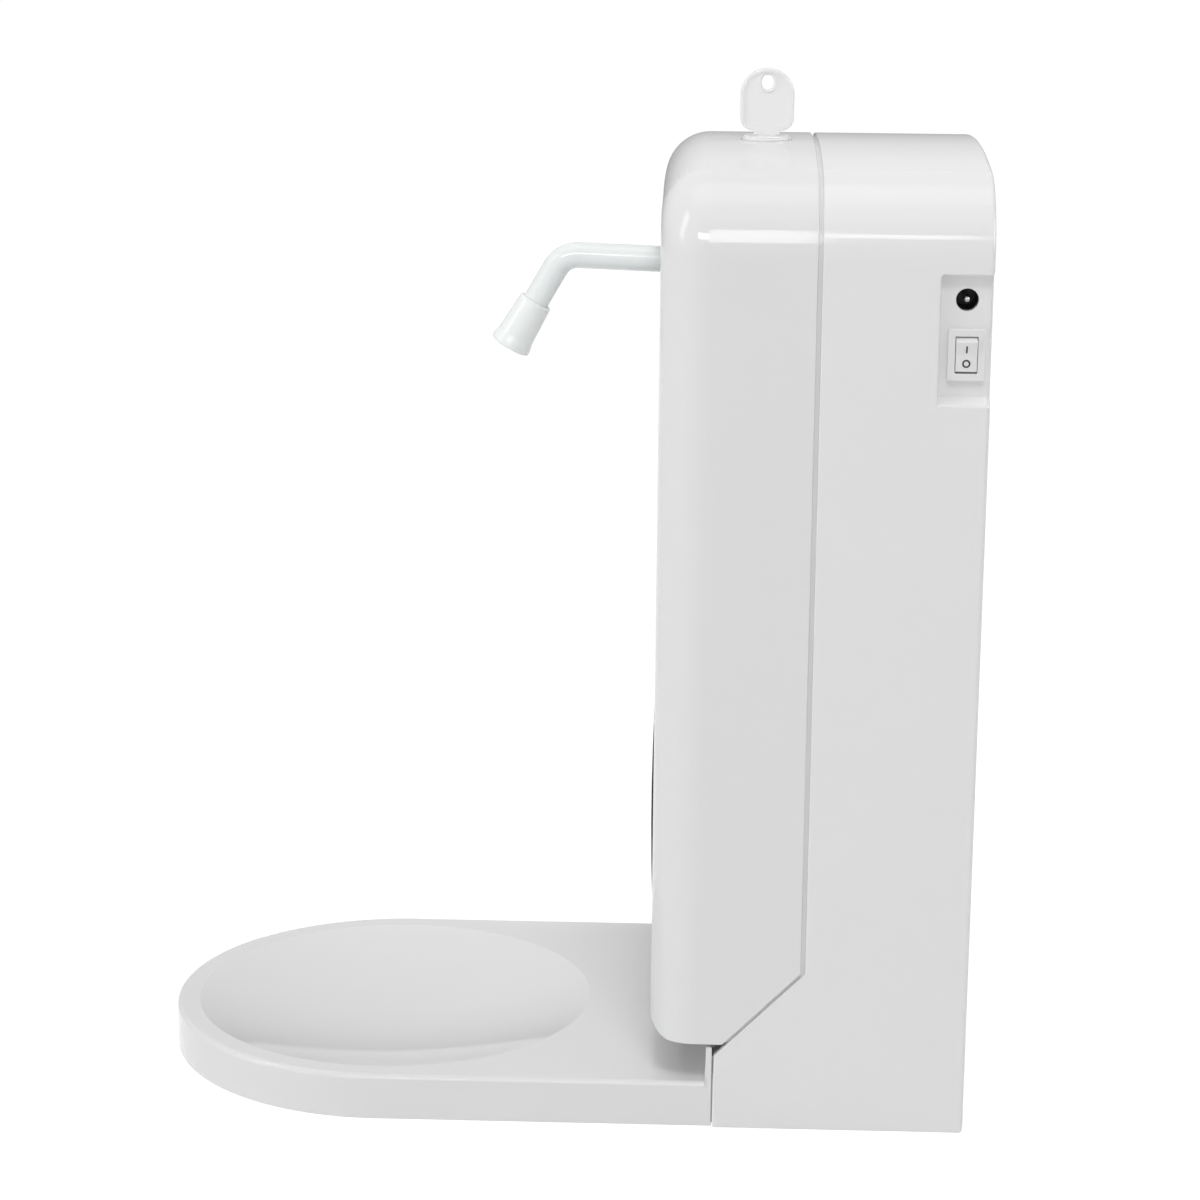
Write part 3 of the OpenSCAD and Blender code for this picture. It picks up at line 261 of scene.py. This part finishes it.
cover_shoulder = (0.071, -0.02, 0.274)
rear_shoulder = (0.071, 0.02, 0.274)
body_middle = (0, -0.03, 0.15)
softbox("shoulder_lamp", (1.81, 0.005, 1.09), cover_shoulder, 0.11, 0.6, 5.0)
softbox("long_lamp", (1.81, -0.475, 1.09), cover_shoulder, 0.85, 0.25, 11.0, filling=False)
softbox("rear_shoulder_lamp", (1.81, 0.134, 1.17), rear_shoulder, 0.133, 0.19, 5.0)
softbox("front_lamp", (0.55, -1.5, 1.1), cover_shoulder, 0.4, 0.9, 2.5)
softbox("front_strip", (0.55, -1.5, 1.1), cover_shoulder, 0.3, 0.9, 5.0, filling=False)
softbox("back_lamp", (0.55, 1.6, 0.9), rear_shoulder, 1.2, 0.9, 6.0, filling=False)
softbox("top_lamp", (0.0, -0.3, 2.0), body_middle, 1.2, 1.2, 0.75)
softbox("high_lamp", (1.05, 0.05, 1.75), body_middle, 0.5, 0.5, 12.2, mirrored=False)
softbox("roof_lamp", (-0.3, 1.3, 1.5), rear_shoulder, 0.8, 0.8, 2.7, mirrored=False)
softbox("spout_lamp", (0.7, -1.6, 0.6), body_middle, 1.0, 1.0, 1.6, mirrored=False)
softbox("far_lamp", (-1.6, -0.6, 0.9), body_middle, 1.0, 1.0, 0.5, mirrored=False)


# Base plate: a flat grey moulding that closes the plinth from below.
# Grained ABS, held by four screws in posts of the housing.
def moulded(name, colour, roughness, cloud=0.02, peel=0.02, grain=650, **fixed):
    """Injection-moulded plastic: faint clouds in its colour, uneven gloss and a fine orange peel."""
    material = bpy.data.materials.new(name)
    material.use_nodes = True
    tree = material.node_tree
    skin = tree.nodes["Principled BSDF"]
    for socket, value in fixed.items():
        skin.inputs[socket.replace("_", " ")].default_value = value
    wire = Wire(tree)
    place = wire.node("ShaderNodeTexCoord", {}, {}, "Object")
    clouds = wire.node("ShaderNodeTexNoise", {}, {"Vector": place, "Scale": 28, "Detail": 3})
    fine = wire.node("ShaderNodeTexNoise", {}, {"Vector": place, "Scale": grain, "Detail": 2})
    paler = [min(1, c * (1 + cloud)) for c in colour] + [1]
    deeper = [c * (1 - cloud) for c in colour] + [1]
    tint = wire.node("ShaderNodeMix", {"data_type": "RGBA"}, {0: clouds, 6: deeper, 7: paler}, 2)
    gloss = roughness * (0.8 + 0.4 * fine)
    relief = wire.node("ShaderNodeBump", {}, {"Strength": peel, "Distance": 0.0002, "Height": fine})
    tree.links.new(tint.socket, skin.inputs["Base Color"])
    tree.links.new(gloss.socket, skin.inputs["Roughness"])
    tree.links.new(relief.socket, skin.inputs["Normal"])
    return material


def dress(piece, material):
    """Gives a piece or a CAD node its finish."""
    piece.data.materials.clear()
    piece.data.materials.append(material)


def open_form(node):
    """A merged copy of a rigid node's mesh, ready for work on its edges."""
    form = bmesh.new()
    form.from_mesh(nodes[node].data)
    bmesh.ops.remove_doubles(form, verts=form.verts, dist=0.002 * mm)
    bmesh.ops.dissolve_degenerate(form, edges=form.edges, dist=0.0005 * mm)
    bmesh.ops.dissolve_limit(form, angle_limit=math.radians(0.05), verts=form.verts, edges=form.edges)
    form.faces.layers.int.new("rounded")
    return form


def outer(form, depth=0.3 * mm):
    """A test for edges on the convex wrap of a form, which leaves the ribs inside it as they are."""
    wrap = bmesh.new()
    for v in form.verts:
        wrap.verts.new(v.co)
    bmesh.ops.convex_hull(wrap, input=wrap.verts)
    skin = BVHTree.FromBMesh(wrap)
    wrap.free()
    return lambda e: all(skin.find_nearest(v.co)[3] < depth for v in e.verts)


def round_off(form, width, segments=3, low=35, where=None, room=1.5):
    """Rounds the edges that turn more than an angle, where their faces have room for it."""
    corners = [
        e for e in form.edges
        if e.is_manifold and e.calc_face_angle(0) > math.radians(low)
        and (where is None or where(e))
        and all(f.calc_area() > room * width * e.calc_length() for f in e.link_faces)
    ]
    made = bmesh.ops.bevel(
        form, geom=corners, offset=width, offset_type="OFFSET", affect="EDGES", segments=segments,
        profile=0.5, material=-1, clamp_overlap=False, loop_slide=True,
    )
    rounded = form.faces.layers.int["rounded"]
    for face in made["faces"]:
        face[rounded] = 1


def close_form(form, node, name, reach=0.08 * mm, far=0.4 * mm):
    """Turns a worked copy into the smooth piece that stands for its node.

    Faces that the rounding left far from the solid are dropped, and folded ones are turned over.
    """
    same_side = 0.7
    same_slope = 0.85
    cad = nodes[node].data
    tree = BVHTree.FromPolygons([v.co for v in cad.vertices], [p.vertices for p in cad.polygons])
    rounded = form.faces.layers.int["rounded"]
    bmesh.ops.triangulate(form, faces=form.faces)
    form.normal_update()
    flaps = []
    for face in form.faces:
        if face[rounded]:
            continue
        point = face.calc_center_median()
        close = tree.find_nearest_range(point, reach)
        if tree.find_nearest(point)[3] > far:
            flaps.append(face)
        elif close and max(hit[1].dot(face.normal) for hit in close) < 0:
            face.normal_flip()
    bmesh.ops.delete(form, geom=flaps, context="FACES")
    form.verts.index_update()

    def true_normal(point, facing):
        """The normal of the solid's own surface at a point, on the side that a face shows."""
        near = [hit for hit in tree.find_nearest_range(point, reach) if hit[1].dot(facing) > same_side]
        if not near:
            return facing
        best = max(near, key=lambda hit: hit[1].dot(facing) - hit[3] / reach * 0.01)
        triangle = cad.polygons[best[2]]
        weights = poly_3d_calc([cad.vertices[i].co for i in triangle.vertices], point)
        blend = Vector()
        for corner, weight in zip(triangle.loop_indices, weights):
            blend += weight * cad.corner_normals[corner].vector
        whole = blend.length > 0.5 and blend.normalized().dot(facing) > same_slope
        return blend.normalized() if whole else facing

    plain = {}
    for face in form.faces:
        face.smooth = True
        if not face[rounded]:
            for v in face.verts:
                plain.setdefault(v.index, []).append(true_normal(v.co, face.normal))
    normals = []
    for face in form.faces:
        for v in face.verts:
            if not face[rounded]:
                normals.append(true_normal(v.co, face.normal))
            elif v.index in plain:
                normals.append(max(plain[v.index], key=face.normal.dot))
            else:
                around = sum((f.normal * f.calc_area() for f in v.link_faces), Vector())
                normals.append(around.normalized())
    mesh = bpy.data.meshes.new(name)
    form.to_mesh(mesh)
    form.free()
    if "custom_normal" in mesh.attributes:
        mesh.attributes.remove(mesh.attributes["custom_normal"])
    mesh.normals_split_custom_set(normals)
    mesh.attributes.remove(mesh.attributes["rounded"])
    piece = bpy.data.objects.new(name, mesh)
    bpy.context.scene.collection.objects.link(piece)
    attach(piece, nodes[node]["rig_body"])
    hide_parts(node)
    return piece


base_grey = moulded("base_grey", (0.26, 0.27, 0.29), 0.5, cloud=0.05, peel=0.25, grain=1400)
base_form = open_form("base_plate")
round_off(base_form, 0.3 * mm)
dress(close_form(base_form, "base_plate", "base_plate_moulding"), base_grey)


# Screws: plated steel with low, plain round heads.
# They hold the base plate, and their kind holds the deck, pump, boards and holder too.
def plated(name, colour, roughness, streak=(1, 1, 1)):
    """Bright metal with fine drawn lines and uneven gloss."""
    material = bpy.data.materials.new(name)
    material.use_nodes = True
    tree = material.node_tree
    skin = tree.nodes["Principled BSDF"]
    skin.inputs["Metallic"].default_value = 1
    wire = Wire(tree)
    place = wire.node("ShaderNodeTexCoord", {}, {}, "Object")
    drawn = wire.node("ShaderNodeMapping", {}, {"Vector": place, "Scale": streak})
    lines = wire.node("ShaderNodeTexNoise", {}, {"Vector": drawn, "Scale": 900, "Detail": 3})
    patch = wire.node("ShaderNodeTexNoise", {}, {"Vector": place, "Scale": 60, "Detail": 2})
    dark = [c * 0.82 for c in colour] + [1]
    bright = list(colour) + [1]
    tint = wire.node("ShaderNodeMix", {"data_type": "RGBA"}, {0: patch, 6: dark, 7: bright}, 2)
    gloss = roughness * (0.7 + 0.6 * lines)
    relief = wire.node("ShaderNodeBump", {}, {"Strength": 0.06, "Distance": 0.0001, "Height": lines})
    tree.links.new(tint.socket, skin.inputs["Base Color"])
    tree.links.new(gloss.socket, skin.inputs["Roughness"])
    tree.links.new(relief.socket, skin.inputs["Normal"])
    return material


steel = plated("steel", (0.62, 0.62, 0.64), 0.28)
dress(nodes["base_screws"], steel)

# Rear housing: one deep white moulding with the plinth, the arched roof and the switch recess.
# Glossy ABS; rails and posts inside carry the deck, the boards and the base plate.
# Its edges are rounded, and then the back wall is filled again as one plane.
shell_white = moulded("shell_white", (0.82, 0.82, 0.825), 0.07, cloud=0.008)
housing_side, housing_back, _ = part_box("rear_housing")[1]
touch = 0.01 * mm
screw_reach = 60 * mm
recess_front = 30 * mm
recess_foot = 200 * mm
rear_rounding = 1.1 * mm
recess_rounding = 0.6 * mm
shell_rounding = 0.35 * mm
housing_form = open_form("rear_housing")


def on_back(shape):
    """A test for edges and faces that lie in the back wall."""
    return all(v.co.y > housing_back - touch for v in shape.verts)


def screw_rim(edge):
    """A test for the rims of the wall-screw holes, which stay sharp."""
    return on_back(edge) and all(abs(v.co.x) < screw_reach and v.co.z < recess_foot for v in edge.verts)


def recess_lip(edge):
    """A test for the edges where the recess cuts the side of the housing."""
    return all(
        v.co.x > housing_side - touch and v.co.y > recess_front and v.co.z > recess_foot
        for v in edge.verts
    )


round_off(housing_form, rear_rounding, 4, where=lambda e: on_back(e) and not screw_rim(e))
round_off(housing_form, recess_rounding, 4, where=recess_lip)
housing_wrap = outer(housing_form)
round_off(housing_form, shell_rounding, where=lambda e: housing_wrap(e) and not screw_rim(e))
back_faces = [f for f in housing_form.faces if on_back(f)]
bmesh.ops.delete(housing_form, geom=back_faces, context="FACES")
back_rim = [e for e in housing_form.edges if e.is_boundary and on_back(e)]
bmesh.ops.triangle_fill(housing_form, use_beauty=True, edges=back_rim, normal=(0, 1, 0))
dress(close_form(housing_form, "rear_housing", "rear_housing_moulding"), shell_white)

# Hinge pins: two short steel pins through the foot of the housing.
# The cover swings down on them.
dress(nodes["hinge_pins"], steel)

# Battery holder: a black tray on the back wall with four cells side by side.
# The cells have a grey wrap and plated ends, and springs and tabs meet them.
black_plastic = moulded("black_plastic", (0.012, 0.012, 0.013), 0.35, cloud=0.2)
holder_form = open_form("battery_holder")
round_off(holder_form, 0.25 * mm)
holder = close_form(holder_form, "battery_holder", "battery_holder_moulding")
dress(holder, black_plastic)
cell_wrap = bpy.data.materials.new("cell_wrap")
cell_wrap.use_nodes = True
cell_skin = cell_wrap.node_tree.nodes["Principled BSDF"]
cell = Wire(cell_wrap.node_tree)
cell_point = cell.node("ShaderNodeTexCoord", {}, {}, "Object")
cell_height = cell.node("ShaderNodeSeparateXYZ", {}, {"Vector": cell_point}, "Z")
cell_low, cell_high = (corner[2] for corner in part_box("battery_cells"))
bare_end = 2.6 * mm
bare = (cell_height < cell_low + bare_end) + (cell_height > cell_high - bare_end)
scuff = cell.node("ShaderNodeTexNoise", {}, {"Vector": cell_point, "Scale": 220, "Detail": 3})
wrap_tint = cell.node("ShaderNodeMix", {"data_type": "RGBA"}, {
    0: scuff, 6: (0.13, 0.15, 0.18, 1), 7: (0.17, 0.19, 0.22, 1),
}, 2)
cell_tint = cell.node("ShaderNodeMix", {"data_type": "RGBA"}, {
    0: bare, 6: wrap_tint, 7: (0.62, 0.62, 0.63, 1),
}, 2)
cell.tree.links.new(cell_tint.socket, cell_skin.inputs["Base Color"])
cell.tree.links.new(bare.socket, cell_skin.inputs["Metallic"])
cell.tree.links.new((0.22 + 0.16 * scuff).socket, cell_skin.inputs["Roughness"])
dress(nodes["battery_cells"], cell_wrap)
for name in ("battery_contacts", "holder_screws"):
    dress(nodes[name], steel)

# Power inlet: a black barrel behind the recess with a steel centre pin.
# A supply plugs in through the round hole, and two tabs carry the current inside.
# The barrel is black plastic, made darker still with painted shade, so that the lit walls inside the
# hole show as dark as the shade deep in the hole.
inlet_black_and_shade = moulded("inlet_black_and_shade", (0.004, 0.004, 0.004), 0.4, cloud=0.2)
inlet_steel = plated("inlet_steel", (0.45, 0.45, 0.46), 0.1)
dress(nodes["inlet_body"], inlet_black_and_shade)
dress(nodes["inlet_pin"], inlet_steel)
dress(nodes["inlet_tabs"], steel)

# Rocker switch: a white frame clipped into the recess, with a rocker that tilts on its pin.
# A stroke and a ring, printed in grey, mark the two ends of the rocker.
switch_white = moulded("switch_white", (0.8, 0.8, 0.8), 0.25)
frame_form = open_form("switch_frame")
frame_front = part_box("switch_frame")[1][0]
round_off(frame_form, 0.2 * mm, where=lambda e: all(v.co.x > frame_front - touch for v in e.verts))
dress(close_form(frame_form, "switch_frame", "switch_frame_moulding"), switch_white)
rocker_form = open_form("switch_rocker")
rocker_tree = BVHTree.FromBMesh(rocker_form)
round_off(rocker_form, 0.15 * mm)
dress(close_form(rocker_form, "switch_rocker", "switch_rocker_moulding"), switch_white)
mark_grey = moulded("mark_grey", (0.02, 0.02, 0.022), 0.4)
rocker_low, rocker_high = (Vector(corner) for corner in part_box("switch_rocker"))
rocker_middle = (rocker_low + rocker_high) / 2
print_start = rocker_high.x + 5 * mm
print_thickness = 0.02 * mm
stroke_width = 0.46 * mm
stroke_length = 2.1 * mm
stroke_height = rocker_middle.z + 1.75 * mm
ring_radius = 1.2 * mm
ring_line = 0.48 * mm
ring_height = rocker_middle.z - 2.45 * mm


def printed(name, form, height):
    """Lays a flat mark on the face of the rocker."""
    to_face = Matrix.Rotation(math.radians(90), 4, "Z") @ Matrix.Rotation(math.radians(90), 4, "X")
    bmesh.ops.transform(form, matrix=to_face, verts=form.verts)
    for v in form.verts:
        start = Vector((print_start, rocker_middle.y + v.co.y, height + v.co.z))
        v.co = rocker_tree.ray_cast(start, Vector((-1, 0, 0)))[0] + Vector((print_thickness, 0, 0))
    bmesh.ops.solidify(form, geom=form.faces[:], thickness=-print_thickness)
    mesh = bpy.data.meshes.new(name)
    form.to_mesh(mesh)
    form.free()
    mark = bpy.data.objects.new(name, mesh)
    bpy.context.scene.collection.objects.link(mark)
    dress(mark, mark_grey)
    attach(mark, "rocker")


stroke = bmesh.new()
bmesh.ops.create_grid(
    stroke, x_segments=1, y_segments=1, size=0.5,
    matrix=Matrix.Diagonal((stroke_width, stroke_length, 1, 1)),
)
printed("on_mark", stroke, stroke_height)
ring = bmesh.new()
bmesh.ops.create_circle(ring, cap_ends=True, radius=ring_radius, segments=32)
bmesh.ops.inset_region(
    ring, faces=ring.faces[:], thickness=ring_line, use_boundary=True, use_even_offset=True,
)
bmesh.ops.delete(ring, geom=[f for f in ring.faces if len(f.verts) > 4], context="FACES_ONLY")
printed("off_mark", ring, ring_height)
dress(nodes["switch_terminals"], steel)

# Control board: a lacquered green board on four posts of the back wall.
# Relay, chip, capacitors and plugs stand on its face.
board_green = bpy.data.materials.new("board_green")
board_green.use_nodes = True
board_skin = board_green.node_tree.nodes["Principled BSDF"]
board = Wire(board_green.node_tree)
board_point = board.node("ShaderNodeTexCoord", {}, {}, "Object")
paths = board.node("ShaderNodeTexVoronoi", {"distance": "CHEBYCHEV", "feature": "F2"}, {
    "Vector": board_point, "Scale": 240, "Randomness": 0.85,
})
pads = board.node("ShaderNodeTexVoronoi", {}, {"Vector": board_point, "Scale": 330}) < 0.16
trace = (paths > 0.62) * 0.8
lacquer = board.node("ShaderNodeMix", {"data_type": "RGBA"}, {
    0: trace, 6: (0.012, 0.085, 0.035, 1), 7: (0.025, 0.15, 0.06, 1),
}, 2)
board_tint = board.node("ShaderNodeMix", {"data_type": "RGBA"}, {
    0: pads, 6: lacquer, 7: (0.6, 0.58, 0.5, 1),
}, 2)
board_relief = board.node("ShaderNodeBump", {}, {
    "Strength": 0.3, "Distance": 0.0001, "Height": trace + pads,
})
board.tree.links.new(board_tint.socket, board_skin.inputs["Base Color"])
board.tree.links.new((0.35 - 0.1 * pads).socket, board_skin.inputs["Roughness"])
board.tree.links.new(board_relief.socket, board_skin.inputs["Normal"])
dress(nodes["control_board"], board_green)
parts_form = open_form("board_parts")
round_off(parts_form, 0.2 * mm)
dress(close_form(parts_form, "board_parts", "board_parts_set"), black_plastic)
dress(nodes["board_screws"], steel)

# Soap bottle: a blown one-litre bottle of milky polythene that stands in the housing.
# A ribbed screw cap holds the stiff dip tube.
bottle_clear = moulded("bottle_clear", (0.78, 0.81, 0.83), 0.32, Transmission_Weight=0.35, IOR=1.5)
deck_white = moulded("deck_white", (0.7, 0.7, 0.69), 0.38)
hose_clear = moulded("hose_clear", (0.75, 0.78, 0.76), 0.3, Transmission_Weight=0.45, IOR=1.42)
dress(nodes["bottle"], bottle_clear)
dress(nodes["bottle_cap"], deck_white)
dress(nodes["dip_tube"], hose_clear)

# Pump deck: a white shelf across the housing that carries pump, motor and spout.
# Satin ABS, screwed to the two side rails.
deck_form = open_form("pump_deck")
round_off(deck_form, 0.3 * mm, where=outer(deck_form))
dress(close_form(deck_form, "pump_deck", "pump_deck_moulding"), deck_white)
dress(nodes["deck_screws"], steel)

# Gear pump: two moulded gears in a white body, closed by an end plate and four screws.
# The drive gear sits on the motor shaft, which runs through a black lip seal.
gear_white = moulded("gear_white", (0.78, 0.76, 0.7), 0.4)
seal_black = moulded("seal_black", (0.012, 0.012, 0.012), 0.6, cloud=0.2)
for name in ("pump_body", "pump_plate"):
    pump_form = open_form(name)
    round_off(pump_form, 0.3 * mm)
    dress(close_form(pump_form, name, name + "_moulding"), deck_white)
for name in ("drive_gear", "idler_gear"):
    dress(nodes[name], gear_white)
for name in ("pump_screws", "motor_shaft", "idler_shaft"):
    dress(nodes[name], steel)
dress(nodes["shaft_seal"], seal_black)

# Motor: a small plated can that drives the pump, held down by a steel strap.
# The strap is bent from sheet and has two screws.
motor_can = plated("motor_can", (0.6, 0.6, 0.58), 0.3, streak=(0.03, 1, 1))
motor_form = open_form("motor")
round_off(motor_form, 0.5 * mm)
dress(close_form(motor_form, "motor", "motor_can_drawn"), motor_can)
for name in ("motor_strap", "strap_screws"):
    dress(nodes[name], steel)

# Hoses: soft silicone tubes from the cap to the pump and from the pump to the spout.
# They are pushed over spigots and hold by their own grip.
for name in ("suction_hose", "delivery_hose"):
    dress(close_form(open_form(name), name, name + "_tube"), hose_clear)

# Spout: a cool white tube, bent down at its end, with a soft nozzle pushed over it.
# A moulded clamp and two screws hold it to the deck.
spout_white = moulded("spout_white", (0.84, 0.875, 0.87), 0.05, peel=0.005)
nozzle_soft = moulded("nozzle_soft", (0.87, 0.9, 0.885), 0.3)
dress(nodes["spout_tube"], spout_white)
nozzle_form = open_form("spout_nozzle")
round_off(nozzle_form, 0.15 * mm, low=50)
dress(close_form(nozzle_form, "spout_nozzle", "spout_nozzle_moulding"), nozzle_soft)
clamp_form = open_form("spout_clamp")
round_off(clamp_form, 0.3 * mm)
dress(close_form(clamp_form, "spout_clamp", "spout_clamp_moulding"), deck_white)
dress(nodes["clamp_screws"], steel)

# Front cover: a white shell that swings down on two pins at its foot.
# Its edge laps over the tongue of the housing and leaves a shadow gap.
# In the solid the shoulder lies a hair under the sides. Here that step is made flush and sewn up.
cover_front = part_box("front_cover")[0][1]
shoulder_radius = 24 * mm
shoulder_middle = Vector((48, 267)) * mm
front_radius = 14 * mm
shoulder_step = 0.06 * mm
shoulder_end = 4.1 * mm
near = 0.006 * mm
no_width = 0.02 * mm
sewing_reach = 0.3 * mm
cover_form = open_form("front_cover")
moved = set()
for v in cover_form.verts:
    away = Vector((abs(v.co.x), v.co.z)) - shoulder_middle
    along = v.co.y - cover_front - front_radius
    out = away.length - shoulder_radius + front_radius
    if away.y < -near or away.x < -shoulder_end:
        continue
    if along > -near and abs(away.length - shoulder_radius + shoulder_step) < near:
        away *= shoulder_radius / away.length
    elif along < near and out > 0 and abs(math.hypot(out, along) - front_radius + shoulder_step) < near:
        grow = front_radius / math.hypot(out, along)
        along *= grow
        away *= (shoulder_radius - front_radius + out * grow) / away.length
    elif along < near and out <= near and abs(along + front_radius - shoulder_step) < near:
        along -= shoulder_step
    else:
        continue
    v.co = (
        math.copysign(shoulder_middle.x + away.x, v.co.x),
        cover_front + front_radius + along,
        shoulder_middle.y + away.y,
    )
    moved.add(v)
steps = [
    f for f in cover_form.faces
    if any(v in moved for v in f.verts) and 2 * f.calc_area() < no_width * f.calc_perimeter()
]
bmesh.ops.delete(cover_form, geom=steps, context="FACES")
seam = [v for v in cover_form.verts if v.is_boundary]
bmesh.ops.remove_doubles(cover_form, verts=seam, dist=sewing_reach)
bmesh.ops.remove_doubles(cover_form, verts=cover_form.verts, dist=0.004 * mm)
bmesh.ops.dissolve_degenerate(cover_form, edges=cover_form.edges, dist=0.003 * mm)
round_off(cover_form, shell_rounding, where=outer(cover_form))
cover_white = moulded("cover_white", (0.79, 0.79, 0.795), 0.07, cloud=0.008)
dress(close_form(cover_form, "front_cover", "front_cover_moulding"), cover_white)

# Sensor: a smoked window in the cover with a small board and two clear diodes behind it.
# The window bulges a little, and its flange sits behind the cover.
window_dark = moulded("window_dark", (0.012, 0.012, 0.014), 0.06, cloud=0.2)
diode_clear = moulded("diode_clear", (0.5, 0.52, 0.6), 0.08, Transmission_Weight=0.8, IOR=1.55)
dress(nodes["sensor_window"], window_dark)
dress(nodes["sensor_board"], board_green)
dress(nodes["sensor_diodes"], diode_clear)
dress(nodes["sensor_screws"], steel)

# Lock: a moulded barrel with a stepped collar on the roof, and a steel cam on its foot.
# The key is a flat pale moulding with a bow and a small hole, and lets a little light through.
lock_white = moulded("lock_white", (0.86, 0.86, 0.86), 0.15)
key_pale = moulded("key_pale", (0.97, 0.97, 0.97), 0.15, Transmission_Weight=0.1, IOR=1.45)
barrel_form = open_form("lock_barrel")
round_off(barrel_form, 0.15 * mm)
dress(close_form(barrel_form, "lock_barrel", "lock_barrel_moulding"), lock_white)
key_form = open_form("key")
round_off(key_form, 0.5 * mm)
dress(close_form(key_form, "key", "key_moulding"), key_pale)
for name in ("lock_cam", "cam_screw"):
    dress(nodes[name], steel)

# Drip tray: a thin white shell with a round end and a shallow dish.
# It plugs into the plinth with two tongues behind its rear upstand.
# A thin pad behind the upstand keeps light out of the gap.
tray_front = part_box("drip_tray")[0][1]
tray_top = 14.3 * mm
rim_rounding = 1.8 * mm
dish_radius = 63.7 * mm
dish_margin = 1 * mm
dish_middle = Vector((0, tray_front + 71 * mm))
pad_low = Vector((-69, -28.93, 0.5)) * mm
pad_high = Vector((69, -28.55, 22.2)) * mm
tray_form = open_form("drip_tray")
round_off(tray_form, rim_rounding, 5, where=lambda e: all(
    abs(v.co.z - tray_top) < near and (v.co.xy - dish_middle).length > dish_radius + dish_margin
    for v in e.verts
))
round_off(tray_form, shell_rounding, where=outer(tray_form))
pad_place = Matrix.Translation((pad_low + pad_high) / 2)
pad_size = Matrix.Diagonal((*(pad_high - pad_low), 1))
bmesh.ops.create_cube(tray_form, size=1, matrix=pad_place @ pad_size)
dress(close_form(tray_form, "drip_tray", "drip_tray_moulding"), cover_white)
